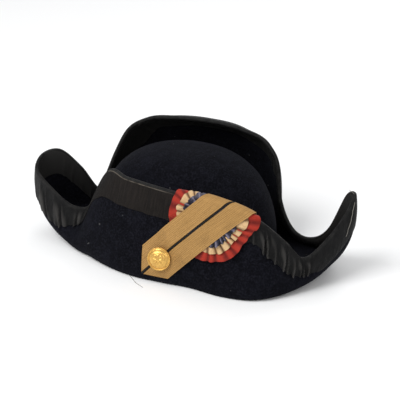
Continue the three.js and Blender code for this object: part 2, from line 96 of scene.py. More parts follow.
# How far the cockade's right side is drawn out, and which way, up from the right
COCKADE_PULL, COCKADE_PULL_WAY = 6.0, math.radians(14)
LACE_WIDTH, LACE_LENGTH, LACE_SLOPE, LACE_TOP_X = 44.0, 128.0, math.radians(46.5), 66.5
LACE_THICK, LACE_HEM, CORD_WIDTH, CORD_RAISE = 1.0, 13.0, 2.2, 0.25
BUTTON_DIAMETER, BUTTON_BACK, BUTTON_TILT = 25.4, 30.0, 10.0
# From the crown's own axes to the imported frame, whose origin is under the middle of the hat
SHIFT = np.array([2.891, -5.403, 0.0])
print("hat", HAT_LENGTH, "by", HAT_DEPTH, "mm, felt", FELT, "mm thick")

# %% [markdown]
# ## The brim, station by station
#
# Each row is a place round the crown, by its angle: 0 is the right horn, 90 the tall flap, 180 the
# left horn and 270 the low flap. The other columns say where the brim's edge is there, and how the
# felt climbs to it from the fold; band is the share of the ribbon's usual width. A smooth closed
# curve runs through each column. A hat block would give the shape in wood; a table of stations is
# how its lines are written down, and one row can be moved without spoiling the rest.

# %% The table of the brim
COLUMNS = (
    "at", "along", "across", "height", "up", "foot", "lift", "belly", "lean", "drop", "band",
)
BRIM = (
    (0, .97, .03, "right", 1.00, .89, .70, .38, .06, .42, 1.12),
    (6.5, .915, .13, "right", .92, .868, .63, .38, .06, .40, 1.04),
    (14.5, .80, .25, "right", .42, .811, .44, .45, .08, .35, 1.00),
    (24.5, .66, .36, "right", .20, .607, .10, .45, .10, .30, 1.00),
    (34, .535, .44, "rear", .20, .378, .00, .28, .14, .35, 1.00),
    (43, .445, .54, "rear", .42, .289, .00, .12, .05, .30, 1.00),
    (50, .415, .60, "rear", .70, .293, .00, .10, .09, .30, 1.00),
    (59, .34, .65, "rear", .86, .322, .00, .14, .18, .15, 1.00),
    (74.5, .17, .67, "rear", .955, .336, .00, .14, .30, .04, 1.00),
    (95.5, -.04, .67, "rear", .995, .287, .00, .14, .36, .02, 1.00),
    (115, -.26, .66, "rear", .985, .272, .00, .14, .36, .04, 1.00),
    (128.5, -.44, .62, "rear", .95, .271, .00, .16, .32, .12, 1.00),
    (138, -.56, .56, "rear", .84, .269, .01, .20, .26, .28, 1.00),
    (146, -.63, .48, "rear", .63, .312, .16, .26, .20, .33, 1.00),
    (153, -.68, .40, "rear", .42, .408, .28, .32, .15, .35, 1.00),
    (158.5, -.72, .35, "left", .42, .488, .45, .42, .10, .35, 1.00),
    (166.5, -.815, .25, "left", .72, .557, .71, .48, .08, .35, 1.00),
    (174, -.91, .12, "left", .97, .611, .93, .52, .05, .40, 1.00),
    (182, -.99, -.03, "left", .97, .62, .99, .49, .05, .40, 1.00),
    (190, -.995, -.20, "left", .85, .624, .86, .49, .06, .40, 1.00),
    (200.5, -.86, -.36, "left", .69, .587, .60, .50, .08, .35, 1.00),
    (209.5, -.69, -.42, "left", .52, .513, .25, .45, .10, .35, .66),
    (216.5, -.575, -.41, "front", .53, .407, .09, .37, .20, .35, .54),
    (221.5, -.51, -.40, "front", .78, .308, .08, .30, .20, .35, .62),
    (229.5, -.43, -.45, "front", .99, .256, .02, .24, .14, .35, .98),
    (242.5, -.29, -.58, "front", 1.00, .256, .00, .18, .10, .35, 1.00),
    (257, -.13, -.67, "front", 1.00, .26, .00, .15, .08, .35, 1.00),
    (274.5, .08, -.745, "front", .99, .26, .00, .15, .06, .35, 1.00),
    (292, .32, -.77, "front", .965, .411, .00, .15, .05, .35, 1.00),
    (305.5, .53, -.75, "front", .855, .802, .00, .17, .05, .35, 1.00),
    (317, .68, -.64, "front", .60, 1.089, .05, .25, .08, .35, .80),
    (327, .76, -.48, "right", .38, 1.13, .14, .38, .10, .35, .96),
    (338, .85, -.30, "right", .50, 1.081, .33, .42, .08, .38, 1.32),
    (349.5, .94, -.10, "right", .78, .976, .57, .38, .06, .40, 1.26),
)
print("stations", len(BRIM), "with", len(COLUMNS), "columns")


# %% Smooth columns
def smooth_column(name):
    """A smooth closed curve through one column, as a function of the angle in degrees."""
    k = COLUMNS.index(name)
    at = np.array([row[0] for row in BRIM], float)
    value = np.array([
        row[k] * HEIGHTS[row[3]] if name == "up" else row[k] for row in BRIM
    ], float)
    at = np.concatenate([at[-2:] - 360, at, at[:3] + 360])
    value = np.concatenate([value[-2:], value, value[:3]])
    rise = np.diff(value) / np.diff(at)
    step = np.diff(at)
    slope = np.zeros_like(at)
    slope[1:-1] = (rise[:-1] * step[1:] + rise[1:] * step[:-1]) / (at[2:] - at[:-2])

    def curve(angle):
        angle = np.mod(angle, 360)
        i = np.clip(np.searchsorted(at, angle, "right") - 1, 1, len(at) - 3)
        h = at[i + 1] - at[i]
        t = (angle - at[i]) / h
        a = (2 * t**3 - 3 * t**2 + 1) * value[i] + (3 * t**2 - 2 * t**3) * value[i + 1]
        return a + (t**3 - 2 * t**2 + t) * h * slope[i] + (t**3 - t**2) * h * slope[i + 1]

    return curve


SHAPE = {name: smooth_column(name) for name in COLUMNS if name not in ("at", "height")}
print("edge height at the tall flap", round(float(SHAPE["up"](95.0)), 1), "mm")

# %% [markdown]
# ## One surface for all the felt
#
# A hatter draws the crown and the brim out of one cone of felt. The surface is made the same way:
# every meridian starts at the top of the crown, runs down its wall, turns at the head opening,
# touches the table and climbs the turned-up brim. A crown and a brim made apart would need a seam
# that the hat doesn't have. All the trimmings take their place from this surface.

# %% Rows of the felt
DOME_ROWS, TURN_ROWS, WALL_ROWS = 34, 8, 46
# How finely the brim's curves are measured before their rows are spaced evenly
MEASURES = 121
# Where the brim is low, the ribbon takes up no more than this share of the climb
RIBBON_SHARE = 0.46
EDGE_ROW = DOME_ROWS + TURN_ROWS + WALL_ROWS
TOE_ROW = DOME_ROWS + TURN_ROWS


def bezier(p, t):
    """Points of cubic curves: p is four arrays of corners, t the shares along."""
    t = t[:, None, None]
    s = 1 - t
    return s**3 * p[0] + 3 * t * s**2 * p[1] + 3 * t**2 * s * p[2] + t**3 * p[3]


print("rows from the apex to the table", TOE_ROW, "and to the edge", EDGE_ROW)


# %% Meridians of the felt
def meridians(angles):
    """The middle of the felt as rows by columns, the ribbon's width and the wall's length."""
    r = np.radians(angles)
    a, b = CROWN_LENGTH / 2, CROWN_WIDTH / 2
    out = np.stack([b * np.cos(r), a * np.sin(r), 0 * r], 1)
    out /= np.linalg.norm(out, axis=1)[:, None]
    rows = []
    for k in range(1, DOME_ROWS + 1):
        u = k / DOME_ROWS * math.pi / 2
        wide = math.sin(u) ** (2 / CROWN_SQUARENESS)
        high = max(math.cos(u), 0) ** (2 / DOME_SQUARENESS) if k < DOME_ROWS else 0
        z = OPENING_LIFT + (CROWN_HEIGHT - FELT / 2 - OPENING_LIFT) * high
        rows.append(np.stack([
            CROWN_SIDE + a * wide * np.cos(r), CROWN_BACK + b * wide * np.sin(r), z + 0 * r,
        ], 1))
    base = rows[-1]
    foot = base + out * (SHAPE["foot"](angles) * FOLD_REACH)[:, None]
    foot[:, 2] = np.maximum(SHAPE["lift"](angles) * HORN_LIFT, 0) + FELT / 2 - FOOT_PRESS
    inner = foot - out * FOOT_WIDTH / 2
    outer = foot + out * FOOT_WIDTH / 2
    reach = np.minimum(8, np.linalg.norm(base - inner, axis=1) * 0.5)
    turn = [base, base - [0, 0, OPENING_LIFT * 0.58], inner - out * reach[:, None], inner]
    rows += list(bezier(turn, np.arange(1, TURN_ROWS + 1) / TURN_ROWS))
    rows.append(outer)
    edge = np.stack([
        SHAPE["along"](angles) * HAT_LENGTH / 2,
        SHAPE["across"](angles) * HAT_DEPTH / 2,
        SHAPE["up"](angles) - FELT / 2,
    ], 1)
    span = np.linalg.norm(edge - outer, axis=1)[:, None]
    lean = (edge + out * span * SHAPE["lean"](angles)[:, None]
            - np.array([0, 0, 1]) * span * SHAPE["drop"](angles)[:, None])
    climb = [outer, outer + out * span * SHAPE["belly"](angles)[:, None], lean, edge]
    fine = bezier(climb, np.linspace(0, 1, MEASURES))
    run = np.concatenate([
        np.zeros((1, len(r))), np.linalg.norm(np.diff(fine, axis=0), axis=2).cumsum(0),
    ])
    wall = np.zeros((WALL_ROWS, len(r), 3))
    for j in range(len(r)):
        spots = np.arange(1, WALL_ROWS + 1) / WALL_ROWS * run[-1, j]
        for c in range(3):
            wall[:, j, c] = np.interp(spots, run[:, j], fine[:, j, c])
    ribbon = np.minimum(RIBBON_WIDTH, run[-1] * RIBBON_SHARE) * SHAPE["band"](angles)
    return np.concatenate([np.array(rows), wall]) + SHIFT, ribbon, run[-1]


def facing(points, closed=True):
    """The side of the felt that faces the table and, on the brim, the viewer."""
    along = np.gradient(points, axis=0)
    if closed:
        around = np.roll(points, -1, 1) - np.roll(points, 1, 1)
    else:
        around = np.gradient(points, axis=1)
    n = np.cross(around, along)
    return n / np.linalg.norm(n, axis=2)[..., None]


right_horn = meridians(np.array([0.0]))
print("the brim climbs", round(float(right_horn[2][0]), 1), "mm to the right horn")

# %% The middle of the felt
AROUND = 360
ANGLES = np.arange(AROUND) * 360 / AROUND
MIDDLE, _, CLIMB_LENGTH = meridians(ANGLES)
FACING = facing(MIDDLE)
APEX = np.array([CROWN_SIDE, CROWN_BACK, CROWN_HEIGHT - FELT / 2]) + SHIFT
print("felt rows", len(MIDDLE), "columns", AROUND, "brim length", round(CLIMB_LENGTH.min(), 1),
      "to", round(CLIMB_LENGTH.max(), 1), "mm")

# %% [markdown]
# ## Soft unevenness
#
# Nothing on an old hat is quite even. It could be pushed about with a brush, but a coherent noise,
# read at each point, gives the low dents of the felt and the wander of a ribbon's edge, and it is
# the same each time the script runs.


# %% Unevenness and easing
def uneven(points, size, seed=0.0):
    """Smooth noise from -1 to 1 at each point (mm); size is the width of one bump in mm."""
    flat = np.asarray(points).reshape(-1, 3) / size + seed
    return np.array([noise.noise(p) for p in flat]).reshape(np.shape(points)[:-1])


def ease(t):
    t = np.clip(t, 0, 1)
    return t * t * (3 - 2 * t)


def bump_between(x, low, high, soft):
    """1 between low and high, easing to 0 over soft outside them."""
    return ease((x - low + soft) / soft) * ease((high + soft - x) / soft)


print("unevenness at the top of the crown", round(float(uneven(APEX, 46.0)), 2))


# %% [markdown]
# ## From a net of points to a thin piece
#
# Felt, ribbon and lace are all sheets with a real thickness. A modifier could thicken a single
# skin, but the folds need a say in both sides. So one helper takes the net of the lower side and
# that of the upper side, joins them along their free edges and lays a flat map over the piece,
# which the finishes read. On cloth it is in millimetres, along and across the piece.


# %% A new piece and its cloth
def new_piece(name, points, faces, flat_map=None, sharp=50):
    mesh = bpy.data.meshes.new(name)
    mesh.from_pydata((np.asarray(points) * MM).tolist(), [], [list(f) for f in faces])
    if flat_map is not None:
        layer = mesh.uv_layers.new(name="cloth")
        corner = np.zeros(len(mesh.loops), np.int32)
        mesh.loops.foreach_get("vertex_index", corner)
        layer.data.foreach_set("uv", np.asarray(flat_map)[corner].ravel().astype(np.float32))
    mesh.polygons.foreach_set("use_smooth", np.ones(len(mesh.polygons), bool))
    mesh.set_sharp_from_angle(angle=math.radians(sharp))
    mesh.update()
    piece = bpy.data.objects.new(name, mesh)
    scene.collection.objects.link(piece)
    return piece


def cloth_area(piece):
    """The area of one side of a thin piece, in square metres: half of its whole skin."""
    return sum(face.area for face in piece.data.polygons) / 2


def declare_cloth(piece, width):
    area = cloth_area(piece)
    length = area / (width * MM)
    width * MM
    print(piece.name, "is cut", round(width, 1), "mm wide and", round(length / MM), "mm long")


print("pieces are written in mm and made", MM, "times as large, in metres")


# %% Thin pieces from two nets
def net_faces(rows, columns, closed):
    """The squares of a net, seen from the side of row down by column across."""
    faces = []
    for i in range(rows - 1):
        for j in range(columns if closed else columns - 1):
            k = (j + 1) % columns
            faces.append((i * columns + j, i * columns + k, (i + 1) * columns + k,
                          (i + 1) * columns + j))
    return faces


def thin_piece(name, lower, upper, closed, flat_map=None, cap=None):
    """A closed sheet between two nets; cap is a pair of points that close the first row."""
    rows, columns = lower.shape[:2]
    count = rows * columns
    net = net_faces(rows, columns, closed)
    points = [*lower.reshape(-1, 3), *upper.reshape(-1, 3)]
    faces = [tuple(reversed(f)) for f in net]
    faces += [tuple(v + count for v in f) for f in net]
    last = columns if closed else columns - 1

    def rim(a, b):
        faces.append((a, b, b + count, a + count))

    for j in range(last):
        k = (j + 1) % columns
        if cap is None:
            rim(j, k)
        rim((rows - 1) * columns + k, (rows - 1) * columns + j)
    if not closed:
        for i in range(rows - 1):
            rim((i + 1) * columns, i * columns)
            rim(i * columns + columns - 1, (i + 1) * columns + columns - 1)
    if cap is not None:
        low, high = len(points), len(points) + 1
        points += [np.asarray(cap[0]), np.asarray(cap[1])]
        for j in range(columns):
            k = (j + 1) % columns
            faces.append((low, k, j))
            faces.append((high, j + count, k + count))
    if flat_map is not None:
        flat_map = np.concatenate([flat_map.reshape(-1, 2)] * 2)
        flat_map = np.concatenate([flat_map, np.zeros((len(points) - len(flat_map), 2))])
    return new_piece(name, points, faces, flat_map)


print("one square of felt near the top has corners", net_faces(2, 2, False)[0])


# %% [markdown]
# ## Finishes as sums
#
# A finish is a few patterns added and multiplied. To write it so, one small class wraps a socket
# of a node and takes part in ordinary sums: each sum adds the Math node that it needs. The nodes
# could be placed one by one, but then the pattern is hard to read. Colours and vectors go through
# Mix and Vector Math nodes, and one method makes any other node.


# %% A socket that takes part in sums
class Wire:
    """A node's output that can be added, taken away, multiplied and compared."""

    def __init__(self, finish, socket):
        self.finish = finish
        self.socket = socket

    def _sum(self, operation, first, second):
        return self.finish.node("ShaderNodeMath", {"operation": operation}, {0: first, 1: second})

    def __add__(self, other):
        return self._sum("ADD", self, other)

    def __radd__(self, other):
        return self._sum("ADD", other, self)

    def __sub__(self, other):
        return self._sum("SUBTRACT", self, other)

    def __rsub__(self, other):
        return self._sum("SUBTRACT", other, self)

    def __mul__(self, other):
        return self._sum("MULTIPLY", self, other)

    def __rmul__(self, other):
        return self._sum("MULTIPLY", other, self)

    def __gt__(self, other):
        return self._sum("GREATER_THAN", self, other)

    def __lt__(self, other):
        return self._sum("LESS_THAN", self, other)


print("a wire can be added, taken away, multiplied and compared")


# %% A material in the making
class Finish:
    """A material in the making."""

    def __init__(self, name):
        self.material = bpy.data.materials.new(name)
        self.material.use_nodes = True
        self.tree = self.material.node_tree
        self.shader = self.tree.nodes["Principled BSDF"]

    def node(self, kind, settings=None, sockets=None, out=0):
        """Adds a node: its settings first, then the values or wires of its sockets."""
        made = self.tree.nodes.new(kind)
        for key, value in (settings or {}).items():
            setattr(made, key, value)
        for key, value in (sockets or {}).items():
            self.feed(made.inputs[key], value)
        return Wire(self, made.outputs[out])

    def feed(self, socket, value):
        """Links a wire to a socket, or writes a value on it."""
        if isinstance(value, Wire):
            self.tree.links.new(value.socket, socket)
        elif isinstance(value, tuple) and len(value) == 3 and len(socket.default_value) == 4:
            socket.default_value = (*value, 1)
        else:
            socket.default_value = value

    def set(self, **sockets):
        """Sets or links the shader's own sockets: Base_Color stands for Base Color."""
        for key, value in sockets.items():
            self.feed(self.shader.inputs[key.replace("_", " ")], value)

    def place(self):
        """Where a point is in the hat's frame, in metres."""
        return self.node("ShaderNodeTexCoord", out="Object")

    def cloth(self):
        """The piece's own flat map, x and y: in millimetres, but for the cockade's rings."""
        flat = self.node("ShaderNodeUVMap", {"uv_map": "cloth"})
        return [self.node("ShaderNodeSeparateXYZ", None, {0: flat}, out=k) for k in (0, 1)]

    def stretched(self, where, scale):
        """A place scaled along each axis, which draws a pattern out."""
        return self.node("ShaderNodeVectorMath", {"operation": "MULTIPLY"}, {0: where, 1: scale})

    def noise(self, where, scale, detail=2.0, rough=0.5):
        return self.node("ShaderNodeTexNoise", {"noise_dimensions": "3D"}, {
            "Vector": where, "Scale": scale, "Detail": detail, "Roughness": rough})

    def colours(self, amount, first, second):
        """A blend of two colours."""
        return self.node("ShaderNodeMix", {"data_type": "RGBA", "clamp_factor": True}, {
            0: amount, 6: first, 7: second}, out=2)

    def between(self, wire, low, high):
        """0 below low, 1 above high, and even between them."""
        return self.node("ShaderNodeMapRange", {"clamp": True}, {
            "Value": wire, "From Min": low, "From Max": high})

    def wave(self, wire, length):
        """A sine over one thread or rib, from 0 to 1."""
        turn = self.node("ShaderNodeMath", {"operation": "SINE"}, {0: wire * (math.tau / length)})
        return turn * 0.5 + 0.5

    def relief(self, height, distance, strength=1.0, over=None):
        """A bump of a height pattern; distance in metres, over is a coarser bump below it."""
        sockets = {"Height": height, "Distance": distance, "Strength": strength}
        if over is not None:
            sockets["Normal"] = over
        return self.node("ShaderNodeBump", None, sockets)


print("finishes are written as sums of patterns")

# %% [markdown]
# ## The felt
#
# Fur felt is dull, almost black, with a blue cast where it is clean. Close to, it has a short nap
# lying every way and a few specks of dust. It could be given hair, but at this distance a fine
# bump with a soft sheen reads the same and costs nothing. Its dents are real shape.


# %% Felt finish
def felt_finish():
    made = Finish("navy_black_felt")
    place = made.place()
    nap = made.noise(place, 1700.0, 3.0, 0.7)
    tufts = made.noise(place, 520.0, 3.0, 0.65)
    cloud = made.noise(place, 34.0, 4.0, 0.6)
    rubbed = made.between(cloud, 0.40, 0.70)
    colour = made.colours(rubbed, (0.0022, 0.0023, 0.0038), (0.0050, 0.0052, 0.0083))
    lit = made.between(tufts, 0.46, 0.60) * 0.75
    colour = made.colours(lit, colour, (0.0095, 0.0098, 0.0142))
    matted = made.between(made.noise(place, 150.0, 3.0, 0.6), 0.52, 0.40)
    colour = made.colours(matted * 0.50, colour, (0.0018, 0.0018, 0.0028))
    dust = made.between(made.noise(place, 230.0, 0.0), 0.855, 0.87)
    colour = made.colours(dust * 0.5, colour, (0.10, 0.10, 0.10))
    made.set(Base_Color=colour, Roughness=0.95, Sheen_Weight=0.015, Sheen_Roughness=0.5,
             Sheen_Tint=(0.6, 0.65, 0.8, 1.0), Specular_IOR_Level=0.055)
    rough = made.relief(tufts, 0.0005, 0.6)
    made.set(Normal=made.relief(nap, 0.00035, 0.7, over=rough))
    return made.material


FELT_FINISH = felt_finish()
print("felt finish with", len(FELT_FINISH.node_tree.nodes), "nodes")


# %% Felt body
# Width of a dent, seed, height of a dent, in mm
DENTS = ((46.0, 3.1, 0.55), (17.0, 8.2, 0.22))


def felt_body():
    """The felt with its low dents, which fade out at the apex, at the foot and at the edge."""
    dent = sum(uneven(MIDDLE, width, seed) * height for width, seed, height in DENTS)
    rows = np.arange(len(MIDDLE))
    free = ease((rows - 2) / 8) * ease(np.abs(rows - TOE_ROW) / 6 - 0.3)
    free = free * ease((EDGE_ROW - rows) / 12)
    soft = MIDDLE + FACING * (dent * free[:, None])[..., None]
    lower = soft - FACING * FELT / 2
    upper = soft + FACING * FELT / 2
    upper[..., 2] = np.maximum(upper[..., 2], 0)
    lower[..., 2] = np.maximum(lower[..., 2], FELT * 0.55)
    cap = (APEX + [0, 0, FELT / 2], APEX - [0, 0, FELT / 2])
    piece = thin_piece("felt_body_nap", lower, upper, True, cap=cap)
    piece.data.materials.append(FELT_FINISH)
    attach(piece, "root")
    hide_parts("felt_body")
    return piece


felt_piece = felt_body()
print("felt faces", len(felt_piece.data.polygons))

# %% [markdown]
# ## The border ribbon
#
# A ribbed silk ribbon is folded over the edge, half outside and half inside. Where the edge turns
# sharply, at the roots of the horns, the maker had to gather it, so it lies in small folds across
# its width. Cloth could be simulated, but the folds are sewn and known, so each stretch of them is
# one row of a table. On the low flap the silk has faded to brown.

# %% Gathers of the ribbon
# From, to (degrees), folds over that stretch, height of a fold in mm, how many folds it slants by
# across the ribbon, on the outer or inner side
GATHERS = (
    (303, 335, 11, 2.9, 1.3, "outer"),
    (194, 218, 7, 2.5, 0.7, "outer"),
    (184, 196, 3, 0.5, 0.3, "outer"),
    (334, 352, 3, 0.35, 0.3, "outer"),
    (34, 64, 9, 1.1, 0.4, "inner"),
    (148, 176, 8, 0.8, 0.3, "inner"),
    (200, 220, 8, 0.9, 0.3, "inner"),
    (338, 356, 5, 0.4, 0.2, "inner"),
    (14, 34, 7, 0.6, 0.2, "inner"),
)

# Angle, and the share of its width that the outer half keeps there once it is gathered
DRAWN_UP = (
    (198, 1.0), (205, 1.28), (212, 1.35), (218, 1.42), (224, 1.18), (229, 1.0), (301, 1.0),
    (306, .80), (309, .86), (313, 1.02), (318, 1.08), (323, .84), (329, .68), (337, .72),
    (341, .82), (349, .93), (356, 1.0),
)


def gather(angles, side, across):
    """How far the ribbon stands up in its folds; across is 0 at its free edge, 1 at the fold."""
    height = np.zeros(np.broadcast(angles, across).shape)
    for first, last, folds, tall, slant, where in GATHERS:
        if where != side:
            continue
        t = (angles - first) / (last - first)
        inside = bump_between(t, 0.12, 0.88, 0.12)
        wobble = 0.35 * np.sin(t * 23 + 2 * across) + 0.30 * np.sin(t * 47 + 1.3 + across)
        wave = np.sin((t * folds + wobble * 0.5 + slant * across) * 2 * math.pi)
        uneven_fold = 1 + 0.35 * np.sin(t * folds * 2.6 + first)
        crest = (0.5 + 0.5 * wave) ** 1.8
        height = height + tall * inside * crest * uneven_fold * (0.35 + 0.65 * (1 - across))
    return height


print("the ribbon is gathered over", len(GATHERS), "stretches")


# %% Places on the brim's wall
def past_edge(edge, before, normal):
    """The way in which the felt would run on past its edge."""
    past = edge - before
    past -= normal * (past * normal).sum(1)[:, None]
    return past / np.linalg.norm(past, axis=1)[:, None]


def down_the_wall(wall, normals, length, below):
    """Points and facings a given way below the edge, one for each column."""
    last = len(wall) - 1
    share = np.clip(1 - below / length, 0, 1) * last
    k = np.minimum(share.astype(int), last - 1)
    t = (share - k)[:, None]
    column = np.arange(wall.shape[1])
    point = wall[k, column] * (1 - t) + wall[k + 1, column] * t
    way = normals[k, column] * (1 - t) + normals[k + 1, column] * t
    return point, way / np.linalg.norm(way, axis=1)[:, None]


print("places on the wall are given by the way below the edge")

# %% Halves of the ribbon
RIBBON_COLUMNS = 900
RIBBON_HALF = 13
# The silk as drawn, and its clearance over the felt
RIBBON_SILK, RIBBON_CLEAR = 0.9, GAP * 0.4
# How far the free edge wanders, over what width, and how much of a fold's height slackens it, mm
WANDER, WANDER_WIDTH, SLACK = 0.7, 9.0, 0.9
# The mitre inside the tall flap: from, to and softness in degrees, and how much wider it lies
MITRE_FROM, MITRE_TO, MITRE_SOFT, MITRE_WIDER = 131, 146, 9, 0.55
# Its seam: the angle at the edge, how far it slants and how wide it is in degrees, its height in mm
SEAM_AT, SEAM_SLANT, SEAM_WIDTH, SEAM_HEIGHT = 133, 8, 0.45, 1.7
# Side, sign of its facing, seed of its wander
HALVES = (("outer", 1, 1.7), ("inner", -1, 6.4))
FOLD_TURNS = (30, 60, 90, 120, 150)


def ribbon_half(angles, side, sign, seed, width, edge, place_on):
    """Rows of one half, from its free edge to the fold: point, facing, lift and way below."""
    wander = uneven(edge * [1, 1, 0], WANDER_WIDTH, seed)
    slack = gather(angles, side, 0.0) * SLACK
    rows = []
    for k in range(RIBBON_HALF + 1):
        across = k / RIBBON_HALF
        lift = gather(angles, side, across) * (1 - across**6)
        if side == "inner":
            seam = (angles - SEAM_AT + SEAM_SLANT * (1 - across)) / SEAM_WIDTH
            lift = lift + SEAM_HEIGHT * np.exp(-(seam**2))
        below = (width + wander * WANDER + slack) * (1 - across)
        point, way = place_on(below)
        rows.append((point, way * sign, lift, below))
    return rows


print("ribbon", 2 * (RIBBON_HALF + 1) + len(FOLD_TURNS), "rows across,", RIBBON_COLUMNS, "round")


# %% Border ribbon
def border_ribbon():
    angles = np.arange(RIBBON_COLUMNS) * 360 / RIBBON_COLUMNS
    middle, width, length = meridians(angles)
    normals = facing(middle)
    edge, normal = middle[EDGE_ROW], normals[EDGE_ROW]
    past = past_edge(edge, middle[EDGE_ROW - 1], normal)
    plain = np.minimum(RIBBON_WIDTH, length * RIBBON_SHARE)
    mitred = 1 + MITRE_WIDER * bump_between(angles, MITRE_FROM, MITRE_TO, MITRE_SOFT)
    widths = {"outer": width * np.interp(angles, *np.transpose(DRAWN_UP)), "inner": plain * mitred}

    def on_wall(below):
        return down_the_wall(middle[TOE_ROW:], normals[TOE_ROW:], length, below)

    outer, inner = [ribbon_half(angles, side, sign, seed, widths[side], edge, on_wall)
                    for side, sign, seed in HALVES]
    flat = np.zeros(len(angles))
    fold = []
    for turn in FOLD_TURNS:
        c, s = math.cos(math.radians(turn)), math.sin(math.radians(turn))
        fold.append((edge, normal * c + past * s, flat, flat))
    inner = [(point, way, lift, -below) for point, way, lift, below in reversed(inner)]
    points, ways, lifts, across = [np.array(part) for part in zip(*outer, *fold, *inner)]
    over = (FELT / 2 + RIBBON_CLEAR + lifts)[..., None]
    lower = points + ways * over
    upper = points + ways * (over + RIBBON_SILK)
    around = np.concatenate([[0], np.linalg.norm(np.diff(edge, axis=0), axis=1).cumsum()])
    flat_map = np.stack([np.broadcast_to(around, lifts.shape), across], 2)
    piece = thin_piece("border_ribbon_silk", lower, upper, True, flat_map=flat_map)
    # How far each point stands up in a fold, for the finish to paint the crests paler as a highlight
    crest = piece.data.attributes.new("fold", "FLOAT", "POINT")
    crest.data.foreach_set("value", np.concatenate([lifts.ravel()] * 2).astype(np.float32))
    wide = (widths["outer"] + widths["inner"]).mean()
    print("ribbon", round(around[-1]), "mm round the edge,", round(wide, 1), "mm wide on average")
    return piece


# %% [markdown]
# ## The silk of the ribbon
#
# The ribbon has fine ribs across it and a faint watered gleam. It is worn where it is handled: brown
# and streaked on the low flap's face, and along that flap's edge worn to a pale line that is painted
# paler as a highlight. The crests of its folds are painted pale as highlights, and inside the horns
# and the tall flap it is painted lighter as fill light. Each could be a painted mask, but here each
# is found from the fold's height, the way below the edge, or the place on the hat.


# %% Ribbon finish
def ribbon_finish():
    made = Finish("ribbed_silk_ribbon")
    along, across = made.cloth()
    place = made.place()
    ribs = made.wave(along, 0.9)
    moire = made.noise(made.stretched(place, (1.0, 1.0, 0.35)), 210.0, 3.0, 0.6)
    watered = made.between(moire, 0.35, 0.7)
    cloud = made.noise(place, 30.0, 2.0)
    colour = made.colours(watered, (0.0026, 0.0026, 0.0028), (0.0065, 0.0064, 0.0066))
    dust = made.noise(made.stretched(place, (1.0, 1.0, 0.2)), 700.0, 1.0)
    colour = made.colours(made.between(dust, 0.6, 0.75) * 0.5, colour, (0.020, 0.019, 0.018))
    # Painted highlight: the crests of the folds and of the seam are painted paler
    fold_height_for_highlight = made.node("ShaderNodeAttribute", {"attribute_name": "fold"}, out=2)
    colour = made.colours(made.between(fold_height_for_highlight, 0.7, 2.2) * 0.85, colour, (0.038, 0.036, 0.034))
    # The low flap's outer side has faded: it is where the map's across is positive
    x, y = [made.node("ShaderNodeSeparateXYZ", None, {0: place}, out=k) for k in (0, 1)]
    front = made.between(y, -0.045, -0.062) * made.between(x, -0.112, -0.098)
    front = front * made.between(x, 0.075, 0.045) * (across > 0.0)
    faded = made.colours(made.between(cloud, 0.3, 0.75), (0.0046, 0.0033, 0.0028),
                         (0.0088, 0.0064, 0.0054))
    thread = made.node("ShaderNodeCombineXYZ", None, {0: along * 0.55, 1: across * 0.04, 2: 0.0})
    streaks = made.noise(thread, 1.0, 3.0, 0.65)
    faded = made.colours(made.between(streaks, 0.42, 0.68) * 0.6, faded, (0.0175, 0.0138, 0.0115))
    colour = made.colours(front, colour, faded)
    # Inside the horns, and less so inside the tall flap, the ribbon is painted lighter as fill light
    # in its shade
    horns_fill_light = made.between(x, -0.13, -0.15) + made.between(x, 0.115, 0.14)
    inside = horns_fill_light * (across < 0.0)
    colour = made.colours(inside * 0.75, colour, (0.030, 0.029, 0.028))
    tall = made.between(y, 0.03, 0.05) * (across < 0.0)
    colour = made.colours(tall * 0.35, colour, (0.022, 0.022, 0.021))
    away = made.node("ShaderNodeMath", {"operation": "ABSOLUTE"}, {0: across})
    fold = made.between(away, 1.8, 0.0)
    rubbed = fold * made.between(made.noise(place, 160.0, 2.0), 0.35, 0.7)
    colour = made.colours(rubbed * 0.35, colour, (0.034, 0.033, 0.031))
    # On the low flap the fold itself is worn to a pale line, painted paler still as the highlight on
    # that edge
    worn_line_and_highlight = made.between(across, 1.7, 1.1) * made.between(across, 0.25, 0.8)
    worn_line_and_highlight = worn_line_and_highlight * made.between(x, 0.02, -0.01) * made.between(x, -0.100, -0.090)
    worn_line_and_highlight = worn_line_and_highlight * made.between(y, -0.03, -0.045)
    worn_line_and_highlight = worn_line_and_highlight * made.between(made.noise(place, 90.0, 2.0), 0.30, 0.5)
    colour = made.colours(worn_line_and_highlight * 0.7, colour, (0.15, 0.13, 0.105))
    made.set(Base_Color=colour, Roughness=0.52 - 0.1 * watered + 0.3 * front, Sheen_Weight=0.015,
             Specular_IOR_Level=0.13)
    made.set(Normal=made.relief(ribs + 0.5 * moire + streaks, 0.00022, 0.7))
    return made.material


RIBBON_FINISH = ribbon_finish()
print("ribbon finish with", len(RIBBON_FINISH.node_tree.nodes), "nodes")

# %% The ribbon in place
ribbon_piece = border_ribbon()
ribbon_piece.data.materials.append(RIBBON_FINISH)
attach(ribbon_piece, "root")
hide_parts("border_ribbon")
declare_cloth(ribbon_piece, 2 * RIBBON_WIDTH)

# %% [markdown]
# ## The low flap as a flat panel
#
# The cockade and the loop are made flat and sewn to the low flap, so they are easiest to draw on
# a flat panel: x across the flap, h the way up the felt from the foot. A shrinkwrap would lay flat
# meshes on the felt too, but it can't fold them over its edge. The helper below bends the panel
# onto the felt, and past its edge over a round and down behind.


# %% Panel of the low flap
PANEL_ANGLES = np.arange(232, 316.1, 0.5)
PANEL, _, PANEL_LENGTH = meridians(PANEL_ANGLES)
PANEL_FACING = facing(PANEL, closed=False)[TOE_ROW:]
PANEL_EDGE = PANEL[EDGE_ROW]
PANEL_WALL = PANEL[TOE_ROW:]
PANEL_PAST = past_edge(PANEL_EDGE, PANEL[EDGE_ROW - 1], PANEL_FACING[-1])


